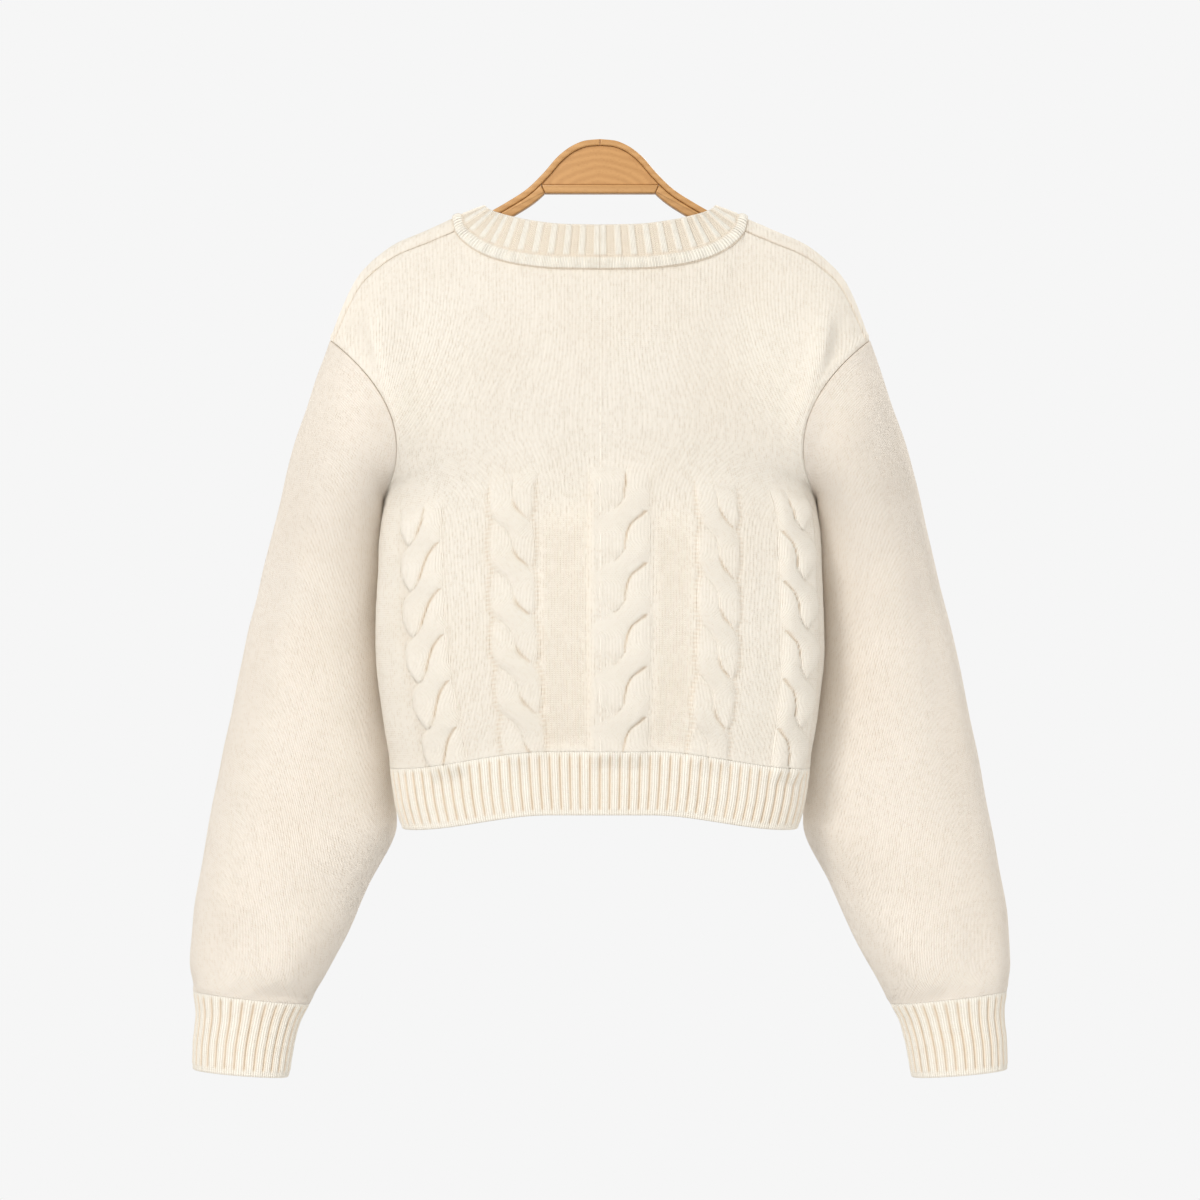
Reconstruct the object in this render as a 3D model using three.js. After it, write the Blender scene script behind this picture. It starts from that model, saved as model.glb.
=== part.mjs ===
// Cropped cable-knit cardigan, buttoned below a V neck and hanging on a bentwood hanger.
//
// Millimetres, +Z up. The origin is on top of the hanger's crown, where the whole thing is held.
// The wearer's front faces -Y and the wearer's left is +X. Each cloth piece is a thin closed wall
// round a middle surface. Cables and ribs are raised in the outer points, over a plain inside.
import * as THREE from "three";

// ---- driving sizes -------------------------------------------------------------------------
const KNIT_WALL = 2.4; // thickness of every knitted wall before its cables and ribs
const SEAM_GAP = 0.6; // clear space left where two pieces are sewn together
const HEM_BOTTOM = -491; // heights of the body's rows, measured at the centre back
const HEM_TOP = -445;
const UNDERARM = -245;
const RING_POWER = 2.6; // squareness of the body's cross-section: 2 is an ellipse
const HALF_RING = 184; // cloth length from the body's centre to its side seam
const NECK_SHARE = 0.575; // share of the back's half width that is neck edge
const PLACKET_HALF = 16.5; // half the width of the button band
const PLACKET_LIFT = 4.4; // the right band lies this far in front of the left one
const EDGE_ROLL = 4; // plain roll at the free edge of each ribbed piece
const CUFF_LENGTH = 56;

// The body's rows: half width, half depth, and how much lower the sides hang than the middle.
const BODY = [
  { z: -491, halfWidth: 142, halfDepth: 43, sag: 12 },
  { z: -470, halfWidth: 147.5, halfDepth: 46, sag: 12 },
  { z: -445, halfWidth: 151, halfDepth: 49, sag: 13.5 },
  { z: -410, halfWidth: 157, halfDepth: 53, sag: 13 },
  { z: -355, halfWidth: 162.5, halfDepth: 55, sag: 13.5 },
  { z: -300, halfWidth: 160.5, halfDepth: 54, sag: 14 },
  { z: -245, halfWidth: 155.5, halfDepth: 52.5, sag: 14 },
];

// The fold line over each shoulder, from the neck to the armhole.
const SHOULDER = [
  { along: 0, x: 107, z: -58.8 },
  { along: 0.2, x: 128, z: -68 },
  { along: 0.4, x: 150, z: -77.8 },
  { along: 0.55, x: 165, z: -89.2 },
  { along: 0.7, x: 177, z: -102.5 },
  { along: 0.84, x: 186.5, z: -121.5 },
  { along: 1, x: 196, z: -147 },
];
const SHOULDER_ROUND = 12; // radius of the cloth where it turns over the shoulder
const SEAM_TURN = THREE.MathUtils.degToRad(68); // the shoulder seam lies this far round to the back
const FRONT_TURN = THREE.MathUtils.degToRad(-60); // where the turn starts at the front

// The armhole is the first section of SLEEVE, from the shoulder line to the underarm.
const ARMHOLE_DEPTH = 40; // its half depth in Y
const ARMHOLE_CUT = 0.3; // how far it cuts into each panel, as a share of the half ring,
const ARMHOLE_CUT_RISE = 0.42; // and over what share of its height most of this happens
const TOP_SOFTNESS = 0.1; // how widely the neck's corners spread into the cloth below
const BOW_POWER = 2; // how its two sides bow in towards the body, as a power of the sine
const SEAM_ANGLE = Math.asin((SHOULDER_ROUND * Math.sin(SEAM_TURN)) / ARMHOLE_DEPTH);

// The sleeve and cuff in sections: its outer and inner edge, and its middle and half depth in Y.
const SLEEVE = [
  { outerX: 196, outerZ: -147, innerX: 155.5, innerZ: -259, midY: 0, halfDepth: 40, bow: 25 },
  { outerX: 207.5, outerZ: -179.6, innerX: 161.5, innerZ: -265, midY: -3, halfDepth: 40, bow: 11 },
  { outerX: 221.5, outerZ: -218.3, innerX: 161, innerZ: -282, midY: -12, halfDepth: 39, bow: 3 },
  { outerX: 234, outerZ: -262.4, innerX: 160.5, innerZ: -309, midY: -22, halfDepth: 38, bow: 0 },
  { outerX: 245, outerZ: -306.7, innerX: 161.5, innerZ: -345, midY: -29, halfDepth: 37, bow: 0 },
  { outerX: 256, outerZ: -350, innerX: 159.5, innerZ: -386, midY: -33, halfDepth: 37, bow: 0 },
  { outerX: 266, outerZ: -394.6, innerX: 156, innerZ: -426, midY: -33, halfDepth: 37, bow: 0 },
  { outerX: 275, outerZ: -439, innerX: 151.5, innerZ: -463, midY: -32, halfDepth: 37, bow: 0 },
  { outerX: 284, outerZ: -483.5, innerX: 151, innerZ: -500.5, midY: -31, halfDepth: 36, bow: 0 },
  { outerX: 292, outerZ: -528, innerX: 171, innerZ: -545, midY: -30, halfDepth: 34, bow: 0 },
  { outerX: 299, outerZ: -571.3, innerX: 191.5, innerZ: -590.5, midY: -29, halfDepth: 31, bow: 0 },
  { outerX: 301, outerZ: -602.5, innerX: 207.5, innerZ: -618.5, midY: -28, halfDepth: 27, bow: 0 },
  { outerX: 297.5, outerZ: -624, innerX: 216, innerZ: -633, midY: -28, halfDepth: 21.5, bow: 0 },
];
const CUFF = [
  { outerX: 297.5, outerZ: -624, innerX: 216, innerZ: -633, midY: -28, halfDepth: 21.5, bow: 0 },
  { outerX: 295.5, outerZ: -641, innerX: 223.5, innerZ: -648, midY: -28, halfDepth: 19, bow: 0 },
  { outerX: 297.5, outerZ: -662, innerX: 228.5, innerZ: -668, midY: -28, halfDepth: 18, bow: 0 },
  { outerX: 298, outerZ: -682, innerX: 231.5, innerZ: -687.5, midY: -28, halfDepth: 17.5, bow: 0 },
];

// The band from the centre back, over the shoulder, down the V and the front edge to the hem:
// its sewn edge and its free edge, for the wearer's left side. Below the V it lies on the front.
const BAND = [
  { sewnX: 0, sewnY: 33, sewnZ: -97, freeX: 0, freeY: 30, freeZ: -64.6 },
  { sewnX: 30, sewnY: 32, sewnZ: -96.5, freeX: 26, freeY: 29, freeZ: -64 },
  { sewnX: 58, sewnY: 28.5, sewnZ: -93.5, freeX: 50, freeY: 25.5, freeZ: -61 },
  { sewnX: 84, sewnY: 22.5, sewnZ: -86, freeX: 68, freeY: 17.5, freeZ: -56.5 },
  { sewnX: 105, sewnY: 11, sewnZ: -68, freeX: 80, freeY: 10, freeZ: -52 },
  { sewnX: 106.6, sewnY: 6, sewnZ: -60.8, freeX: 82, freeY: 5, freeZ: -50.3 },
  { sewnX: 107, sewnY: 0, sewnZ: -58.8, freeX: 82.5, freeY: 0, freeZ: -49.8 },
  { sewnX: 106.3, sewnY: -6, sewnZ: -61, freeX: 82, freeY: -5, freeZ: -50.8 },
  { sewnX: 104.5, sewnY: -11, sewnZ: -68.5, freeX: 79, freeY: -11, freeZ: -56 },
  { sewnX: 92, sewnY: -22, sewnZ: -96, freeX: 62, freeY: -21, freeZ: -84 },
  { sewnX: 70, sewnY: -33, sewnZ: -139, freeX: 40, freeY: -32, freeZ: -125 },
  { sewnX: 48, sewnY: -42, sewnZ: -182, freeX: 18, freeY: -41, freeZ: -168 },
  { sewnX: 28, sewnY: -48.5, sewnZ: -221, freeX: -2, freeY: -48.5, freeZ: -208 },
  { sewnX: 16.5, sewnY: -52.4, sewnZ: -245, freeX: -16.5, freeY: -52.4, freeZ: -245 },
  { sewnX: 16.5, sewnY: -53.6, sewnZ: -280, freeX: -16.5, freeY: -53.6, freeZ: -280 },
];
const BAND_SHOULDER_SEAM = 4; // rows of BAND: at the shoulder seam, where the turn over the
const BAND_FRONT_TURN = 8; // shoulder starts, and at the bottom of the V
const BAND_V_BOTTOM = 13;

// Rope cables. `at` is the cloth distance from the centre line at CABLE_MIDDLE, `drift` is how far
// the cable has moved outwards 100 mm above that, `lean` is 1 where the strand on top runs down
// towards +X on the back, and `first` and `pitch` place its crossings.
const CABLE_MIDDLE = -375;
const CABLE_FADE = 18; // above its first crossing a cable opens and sinks over this height
const BACK_CABLES = [
  { at: 122.5, drift: 8, width: 38, height: 4.4, lean: 1, first: -308, pitch: 33.4 },
  { at: 60, drift: 3.6, width: 37, height: 3.8, lean: -1, first: -280, pitch: 35 },
  { at: -16, drift: 0, width: 47, height: 5, lean: 1, first: -289.5, pitch: 35.9 },
  { at: -83, drift: -2, width: 36, height: 3.8, lean: -1, first: -278, pitch: 35.4 },
  { at: -146, drift: 1, width: 38, height: 4.4, lean: -1, first: -311, pitch: 34.4 },
];
const FRONT_CABLES = [
  { at: 58, drift: 2, width: 42, height: 4.4, lean: 1, first: -284, pitch: 35.4 },
  { at: 128, drift: 5, width: 42, height: 4.4, lean: -1, first: -298, pitch: 34.4 },
];

// Ribs: how many, and how high they stand.
const HEM_RIBS_BACK = 48;
const HEM_RIBS_FRONT = 22;
const CUFF_RIBS = 30;
const BAND_RIBS = { back: 10, neck: 20, front: 21 }; // to the shoulder seam, V bottom, hem
const RIB_HEIGHT = 1.3;
const BAND_RIB_SHARE = 0.8; // the band's ribs stand this share as high
const BAND_SEAM_ROLL = 1.2; // extra height of the roll along the band's sewn edge
const BAND_SEAM_SHARE = 0.28; // share of the band's width that this roll takes

// Soft folds in the body: a ridge or trough from one point to another as seen from the back.
const BODY_FOLDS = [
  { x0: 160, z0: -118, x1: 149, z1: -236, width: 11, height: 7 },
  { x0: 176, z0: -135, x1: 166, z1: -180, width: 9, height: -4.5 },
];
// Soft folds in the sleeve, by angle round it (0 outer edge, 90 back) and share of its length.
const SLEEVE_FOLDS = [
  { angle: 92, from: 0.04, to: 0.3, width: 24, height: 4 },
  { angle: 48, from: 0.16, to: 0.8, width: 20, height: -3.2 },
  { angle: 116, from: 0.78, to: 0.97, width: 18, height: 3.5 },
  { angle: 62, from: 0.8, to: 0.96, width: 18, height: -3 },
  { angle: -100, from: 0.06, to: 0.45, width: 26, height: 3.5 },
  { angle: -52, from: 0.25, to: 0.85, width: 20, height: -3 },
  { angle: -120, from: 0.76, to: 0.97, width: 18, height: 3 },
];

// Buttons on the front band.
const BUTTON_HEIGHTS = [-256, -310.5, -365, -419.5, -474];
const BUTTON_RADIUS = 9;
const BUTTON_THICKNESS = 3.2;

// Hanger: its top line on one side, from the crown to the tip.
const HANGER_TOP = [
  { along: 0, x: 0, z: 0 },
  { along: 0.06, x: 10, z: -0.9 },
  { along: 0.12, x: 19.5, z: -4.4 },
  { along: 0.2, x: 30, z: -12 },
  { along: 0.3, x: 41.5, z: -25 },
  { along: 0.4, x: 53.8, z: -36.8 },
  { along: 0.5, x: 68, z: -46 },
  { along: 0.6, x: 84, z: -55 },
  { along: 0.74, x: 106, z: -66 },
  { along: 0.87, x: 129, z: -75.6 },
  { along: 1, x: 152, z: -88 },
];
const HANGER_WIDTH = 12; // in Y
const OUTER_STRIP = 4.4; // thickness of the strip that makes the arch and the top of each arm
const INNER_STRIP = 6.4; // thickness of the strip that makes the crossbar and the underside
const CROSSBAR_TOP = -33.2;

const CREAM = { color: 0xf6eddc, roughness: 0.95, metalness: 0 };
const HORN = { color: 0xe9dcc3, roughness: 0.45, metalness: 0 };
const BEECH = { color: 0xd3a366, roughness: 0.55, metalness: 0 };

// ---- small helpers -------------------------------------------------------------------------
const clamp = (t) => Math.min(1, Math.max(0, t));
const mix = (a, b, t) => a + (b - a) * t;
const smooth = (t) => clamp(t) ** 2 * (3 - 2 * clamp(t));
const vec = (x, y, z) => new THREE.Vector3(x, y, z);
const steps = (from, to, count) =>
  Array.from({ length: count + 1 }, (_, i) => mix(from, to, i / count));
const radians = THREE.MathUtils.degToRad;

// A smooth curve through one column of a table, without overshoot, read at a place on the key.
function read(table, key, name, at) {
  const last = table.length - 1;
  const slope = (i) =>
    (table[i + 1][name] - table[i][name]) / (table[i + 1][key] - table[i][key]);
  const tangent = (i) => {
    if (i === 0) return slope(0);
    if (i === last) return slope(last - 1);
    const [a, b] = [slope(i - 1), slope(i)];
    return a * b <= 0 ? 0 : (2 * a * b) / (a + b);
  };
  let i = 0;
  while (i < last - 1 && at > table[i + 1][key]) i++;
  const span = table[i + 1][key] - table[i][key];
  const t = clamp((at - table[i][key]) / span);
  const [t2, t3] = [t * t, t * t * t];
  return (
    table[i][name] * (2 * t3 - 3 * t2 + 1) +
    tangent(i) * span * (t3 - 2 * t2 + t) +
    table[i + 1][name] * (3 * t2 - 2 * t3) +
    tangent(i + 1) * span * (t3 - t2)
  );
}

// The same surface with its named edges drawn back by half a seam's gap. Where `special` gives a
// direction for a place, that place is drawn back along it instead of along u, or both ways where
// three pieces meet.
function inset(surface, { u0, u1, v0, v1, special = () => null }) {
  const step = 0.004;
  return (u, v) => {
    const p = surface(u, v);
    const draw = (q) => q.sub(surface(u, v)).setLength(SEAM_GAP / 2);
    const along = special(u, v);
    const moved = p.clone();
    if (along) moved.addScaledVector(along, SEAM_GAP / 2);
    if (u === u0 && (!along || v === 1)) moved.add(draw(surface(u + step, v)));
    if (u === u1 && (!along || v === 1)) moved.add(draw(surface(u - step, v)));
    if (v === v0) moved.add(draw(surface(u, v + step)));
    if (v === v1) moved.add(draw(surface(u, v - step)));
    return moved;
  };
}

// The unit normal of a surface at (u, v), on the side that `out` (1 or -1) names.
function normalOf(surface, u, v, out) {
  const [du, dv] = [2e-3, 2e-3];
  const across = surface(u + du, v).sub(surface(u - du, v));
  const up = surface(u, v + dv).sub(surface(u, v - dv));
  return across.cross(up).multiplyScalar(out).normalize();
}

// ---- closed walls --------------------------------------------------------------------------
// A row is { ids, at }: its points from one side to the other, and where each lies from 0 to 1.
class Wall {
  positions = [];
  faces = [];

  row(points, closed = false) {
    const lengths = [0];
    points.forEach((p, i) => i && lengths.push(lengths[i - 1] + p.distanceTo(points[i - 1])));
    if (closed) lengths.push(lengths.at(-1) + points[0].distanceTo(points.at(-1)));
    const ids = points.map((p) => this.positions.push(p.x, p.y, p.z) / 3 - 1);
    if (closed) ids.push(ids[0]);
    return { ids, at: lengths.map((l) => l / lengths.at(-1)) };
  }

  // Joins two rows with triangles: point to point where their counts agree, else by how far along
  // the row each point lies. `leanAt` picks a square's diagonal.
  zip(a, b, leanAt = () => 1) {
    const paired = a.ids.length === b.ids.length;
    let [i, j] = [0, 0];
    while (i < a.ids.length - 1 || j < b.ids.length - 1) {
      const [nextA, nextB] = [a.at[i + 1] ?? Infinity, b.at[j + 1] ?? Infinity];
      const together = paired || Math.abs(nextA - nextB) < 1e-3;
      if (together ? leanAt(i) > 0 : nextA < nextB) {
        this.faces.push(a.ids[i], a.ids[i + 1], b.ids[j]);
        i++;
        if (together) this.faces.push(a.ids[i], b.ids[j + 1], b.ids[j++]);
      } else {
        this.faces.push(a.ids[i], b.ids[j + 1], b.ids[j]);
        j++;
        if (together) this.faces.push(a.ids[i], a.ids[i + 1], b.ids[j]), i++;
      }
    }
  }

  side(rows, end) {
    const ids = rows.map((r) => r.ids.at(end));
    const lengths = [0];
    const point = (id) => new THREE.Vector3().fromArray(this.positions, id * 3);
    ids.forEach((id, i) => i && lengths.push(lengths[i - 1] + point(id).distanceTo(point(ids[i - 1]))));
    return { ids, at: lengths.map((l) => l / lengths.at(-1)) };
  }

  // Closes an outer and an inner set of rows into one solid, with a rim on every open side.
  static close(outerPoints, innerPoints, { closed = false, leanAt } = {}) {
    const wall = new Wall();
    const outer = outerPoints.map((r) => wall.row(r, closed));
    const inner = innerPoints.map((r) => wall.row(r, closed));
    for (let i = 1; i < outer.length; i++)
      wall.zip(outer[i - 1], outer[i], leanAt && ((column) => leanAt(i - 1, column)));
    for (let i = 1; i < inner.length; i++) wall.zip(inner[i], inner[i - 1]);
    wall.zip(inner[0], outer[0]);
    wall.zip(outer.at(-1), inner.at(-1));
    if (!closed) {
      wall.zip(wall.side(outer, 0), wall.side(inner, 0));
      wall.zip(wall.side(inner, -1), wall.side(outer, -1));
    }
    return wall.geometry();
  }

  geometry() {
    const points = (k) => new THREE.Vector3().fromArray(this.positions, this.faces[k] * 3);
    let volume = 0;
    for (let k = 0; k < this.faces.length; k += 3)
      volume += points(k).dot(points(k + 1).cross(points(k + 2)));
    const index = volume > 0 ? this.faces : this.faces.toReversed();
    const geometry = new THREE.BufferGeometry();
    geometry.setAttribute("position", new THREE.Float32BufferAttribute(this.positions, 3));
    geometry.setIndex(index);
    geometry.computeVertexNormals();
    return geometry;
  }
}

// Rows of points on a surface, pushed out along `normal` by `offset` at each place.
const rowsOn = (surface, normal, us, vs, offset) =>
  vs.map((v, j) =>
    (typeof us === "function" ? us(j) : us).map((u) =>
      surface(u, v).addScaledVector(normal(u, v), offset(u, v)),
    ),
  );

// ---- the body's middle surfaces ------------------------------------------------------------
// Angle round the body's ring at each share of the cloth length from its centre to its side.
const ringAngles = (() => {
  const count = 400;
  const middle = BODY[4];
  const angles = steps(0, Math.PI / 2, count);
  const at = (angle) => [
    middle.halfWidth * Math.sin(angle) ** (2 / RING_POWER),
    middle.halfDepth * Math.abs(Math.cos(angle)) ** (2 / RING_POWER),
  ];
  const lengths = [0];
  for (let i = 1; i <= count; i++) {
    const [a, b] = [at(angles[i - 1]), at(angles[i])];
    lengths.push(lengths[i - 1] + Math.hypot(b[0] - a[0], b[1] - a[1]));
  }
  return { angles, shares: lengths.map((l) => l / lengths[count]) };
})();

function ringAngle(share) {
  const { angles, shares } = ringAngles;
  const i = Math.max(1, shares.findIndex((s) => s >= Math.min(share, 1)));
  return mix(angles[i - 1], angles[i], (share - shares[i - 1]) / (shares[i] - shares[i - 1]));
}

// A point of the body below the underarm. `side` is 1 on the back and -1 on the front.
function ringPoint(share, z, side) {
  const angle = ringAngle(Math.abs(share));
  const halfWidth = read(BODY, "z", "halfWidth", z);
  const halfDepth = read(BODY, "z", "halfDepth", z);
  const x = halfWidth * Math.max(0, Math.sin(angle)) ** (2 / RING_POWER);
  const y = halfDepth * Math.abs(Math.cos(angle)) ** (2 / RING_POWER) * Math.sign(Math.cos(angle));
  const drop = read(BODY, "z", "sag", z) * smooth((x / halfWidth - 0.25) / 0.75);
  return vec(Math.sign(share) * x, side * y, z - drop);
}

// The ring's share at a place across the button band, so that the band stays equally wide.
const bandShare = (x, z) => (x / HALF_RING) * (BODY[4].halfWidth / read(BODY, "z", "halfWidth", z));

function foldHeight(folds, x, z) {
  let height = 0;
  for (const f of folds) {
    const [dx, dz] = [f.x1 - f.x0, f.z1 - f.z0];
    const t = clamp(((x - f.x0) * dx + (z - f.z0) * dz) / (dx * dx + dz * dz));
    const away = Math.hypot(x - f.x0 - dx * t, z - f.z0 - dz * t) / f.width;
    height += f.height * Math.exp(-away * away) * Math.min(1, 1.4 * Math.sin(Math.PI * clamp(t)) + 0.15);
  }
  return height;
}

// `fade` is 0 on a seam, where every piece keeps the plain edge.
const withFolds = (p, side, fade) => {
  const height = fade * foldHeight(BODY_FOLDS, Math.abs(p.x), p.z);
  return p.add(vec(Math.sign(p.x) * 0.5 * Math.max(0, height), side * 0.86 * height, 0));
};

// The armhole's edge. 0 is its top, positive angles are on the back, 180 degrees is the underarm.
function sectionPoint(section, angle) {
  const [c, s] = [Math.cos(angle), Math.sin(angle)];
  const inward = section.bow * Math.abs(s) ** BOW_POWER;
  return vec(
    mix(section.innerX, section.outerX, (1 + c) / 2) - inward,
    section.midY + section.halfDepth * s,
    mix(section.innerZ, section.outerZ, (1 + c) / 2),
  );
}

function sectionNormal(section, angle) {
  const across = vec(section.outerX - section.innerX, 0, section.outerZ - section.innerZ);
  const half = across.length() / 2;
  return across
    .multiplyScalar((Math.cos(angle) / half / half / 2))
    .add(vec(0, Math.sin(angle) / section.halfDepth, 0))
    .normalize();
}

// The shoulder's turn at a place along the fold line: 0 is on top, positive is to the back.
function shoulderPoint(along, turn) {
  const step = 0.01;
  const at = (t) => vec(read(SHOULDER, "along", "x", t), 0, read(SHOULDER, "along", "z", t));
  const tangent = at(Math.min(1, along + step)).sub(at(Math.max(0, along - step))).normalize();
  const out = vec(-tangent.z, 0, tangent.x);
  return at(along)
    .addScaledVector(out, -SHOULDER_ROUND * (1 - Math.cos(turn)))
    .add(vec(0, SHOULDER_ROUND * Math.sin(turn), 0));
}

// ---- the band's middle surface ---------------------------------------------------------------
BAND.forEach((row, i) => {
  const before = BAND[i - 1];
  row.along = before
    ? before.along +
      Math.hypot(row.sewnX - before.sewnX, row.sewnY - before.sewnY, row.sewnZ - before.sewnZ)
    : 0;
});
const V_LENGTH = BAND[BAND_V_BOTTOM].along;
const BAND_LENGTH = V_LENGTH + UNDERARM - HEM_BOTTOM;

// hand is 1 for the wearer's left. share runs from the sewn edge (0) to the free edge (1).
function bandPoint(hand, along, share) {
  const down = along - V_LENGTH;
  const z = UNDERARM - down;
  const x = mix(PLACKET_HALF, -PLACKET_HALF, share);
  const at = (edge, axis) => read(BAND, "along", edge + axis, along);
  const p =
    down >= 0
      ? ringPoint(bandShare(x, z), z, -1)
      : vec(
          mix(at("sewn", "X"), at("free", "X"), share),
          mix(at("sewn", "Y"), at("free", "Y"), share),
          mix(at("sewn", "Z"), at("free", "Z"), share),
        );
  p.x *= hand;
  if (hand < 0 && p.y < 0) p.y -= PLACKET_LIFT * smooth((-p.z - 150) / 55);
  return p;
}

function bandNormal(hand, along, share) {
  const surface = (a, s) => bandPoint(hand, a * BAND_LENGTH, s);
  return normalOf(surface, Math.max(0.003, along / BAND_LENGTH), share, -hand);
}

// ---- the upper body: from the underarm to the neck, shoulder and armhole -----------------------
// `rise` runs from 0 at the underarm to 1 at the top edge.
function backTop(share) {
  const part = Math.min(1, Math.abs(share));
  if (part <= NECK_SHARE)
    return bandPoint(Math.sign(share) || 1, (part / NECK_SHARE) * BAND[BAND_SHOULDER_SEAM].along, 0);
  const along = (part - NECK_SHARE) / (1 - NECK_SHARE);
  const p = shoulderPoint(along, SEAM_TURN);
  const neck = bandPoint(1, BAND[BAND_SHOULDER_SEAM].along, 0).sub(shoulderPoint(0, SEAM_TURN));
  const tip = sectionPoint(SLEEVE[0], SEAM_ANGLE).sub(shoulderPoint(1, SEAM_TURN));
  p.addScaledVector(neck, 1 - along).addScaledVector(tip, along ** 2);
  p.x *= Math.sign(share);
  return p;
}

// The top edge as the cloth below feels it: its corners soften with the distance from it.
function softTop(share, rise) {
  const reach = TOP_SOFTNESS * Math.min(1, 1.6 * (1 - rise));
  const p = vec(0, 0, 0);
  [1, 2, 3, 2, 1].forEach((weight, i) =>
    p.addScaledVector(backTop(share + (i - 2) * reach), weight / 9),
  );
  return p;
}

// The armhole cuts into the ring from the side as it rises: the ring's share at its edge.
const cutIn = (rise) => 1 - ARMHOLE_CUT * (1 - Math.exp(-rise / ARMHOLE_CUT_RISE));

const backArmAngle = (rise) => Math.PI - (Math.PI - SEAM_ANGLE) * rise;
const backArmLevel = (angle) => 1 + (Math.PI - angle) / (Math.PI - SEAM_ANGLE);

// Bottom row to top edge, eased so that the cloth leaves the lower body without a crease.
function rising(bottom, top, rise) {
  const ease = rise ** 1.35;
  return vec(mix(bottom.x, top.x, ease), mix(bottom.y, top.y, ease), mix(bottom.z, top.z, rise));
}

function backUpper(share, rise) {
  const part = Math.min(1, Math.abs(share));
  const hand = Math.sign(share) || 1;
  const arc = (1 - Math.cos(Math.PI * rise)) / 2; // height share that fits the armhole's angle
  const column = (s, lift) =>
    rising(ringPoint(s * cutIn(rise), UNDERARM, 1), softTop(s, rise), lift);
  const p = column(hand * part, mix(rise, arc, part ** 2));
  const pull = sectionPoint(SLEEVE[0], backArmAngle(rise)).sub(column(1, arc));
  pull.x *= hand;
  p.addScaledVector(pull, part ** 3);
  return withFolds(p, 1, smooth((1 - part) / 0.1));
}

// level runs from 0 at the hem's top to 1 at the underarm and 2 at the top edge.
function backPoint(share, level) {
  if (level > 1) return backUpper(share, Math.min(1, level - 1));
  const z = mix(HEM_TOP, UNDERARM, level);
  return withFolds(ringPoint(share, z, 1), 1, smooth((1 - Math.abs(share)) / 0.1));
}

// The front's share runs from 0 at the band to 1 at the side seam or armhole.
function frontLower(hand, share, z) {
  const p = ringPoint(hand * mix(bandShare(PLACKET_HALF, z), 1, share), z, -1);
  if (hand < 0) p.y -= PLACKET_LIFT * (1 - smooth(share / 0.3));
  return p;
}

const FRONT_TURN_LEVEL = 1.8; // above this level the front is turning over the shoulder
const FRONT_TURN_ANGLE = Math.asin((SHOULDER_ROUND * Math.sin(FRONT_TURN)) / ARMHOLE_DEPTH);
const frontArmAngle = (level) =>
  level < FRONT_TURN_LEVEL
    ? mix(-Math.PI, FRONT_TURN_ANGLE, (level - 1) / (FRONT_TURN_LEVEL - 1))
    : mix(FRONT_TURN_ANGLE, SEAM_ANGLE, (level - FRONT_TURN_LEVEL) / (2 - FRONT_TURN_LEVEL));
const frontArmLevel = (angle) => {
  const [low, turn] = [FRONT_TURN_ANGLE + Math.PI, SEAM_ANGLE - FRONT_TURN_ANGLE];
  return angle < FRONT_TURN_ANGLE
    ? 1 + ((angle + Math.PI) / low) * (FRONT_TURN_LEVEL - 1)
    : mix(FRONT_TURN_LEVEL, 2, (angle - FRONT_TURN_ANGLE) / turn);
};
const frontBandAlong = (level) => {
  const at = (row) => BAND[row].along;
  return level < FRONT_TURN_LEVEL
    ? mix(at(BAND_V_BOTTOM), at(BAND_FRONT_TURN), (level - 1) / (FRONT_TURN_LEVEL - 1))
    : mix(
        at(BAND_FRONT_TURN),
        at(BAND_SHOULDER_SEAM),
        (level - FRONT_TURN_LEVEL) / (2 - FRONT_TURN_LEVEL),
      );
};

function frontUpper(hand, share, level) {
  const turning = level >= FRONT_TURN_LEVEL;
  const turn = (level - FRONT_TURN_LEVEL) / (2 - FRONT_TURN_LEVEL);
  const rise = (level - 1) / (FRONT_TURN_LEVEL - 1);
  const arc = (1 - Math.cos(Math.PI * rise)) / 2;
  const atRing = (s) => ringPoint(mix(bandShare(PLACKET_HALF, UNDERARM), cutIn(rise), s), UNDERARM, -1);
  const column = (s) =>
    turning
      ? shoulderPoint(s, mix(FRONT_TURN, SEAM_TURN, turn))
      : rising(atRing(s), shoulderPoint(s, FRONT_TURN), mix(rise, arc, s));
  const p = column(share);
  const atBand = bandPoint(1, frontBandAlong(level), 0).sub(column(0));
  const atArm = sectionPoint(SLEEVE[0], frontArmAngle(level)).sub(column(1));
  p.addScaledVector(atBand, 1 - share).addScaledVector(atArm, share ** 2);
  p.x *= hand;
  if (hand < 0) p.y -= PLACKET_LIFT * smooth((-p.z - 150) / 55) * (1 - smooth(share / 0.3));
  return p;
}

function frontPoint(hand, share, level) {
  const p =
    level > 1
      ? frontUpper(hand, share, Math.min(2, level))
      : frontLower(hand, share, mix(HEM_TOP, UNDERARM, level));
  return withFolds(p, -1, smooth((1 - share) / 0.1) * smooth(share / 0.1));
}

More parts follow.
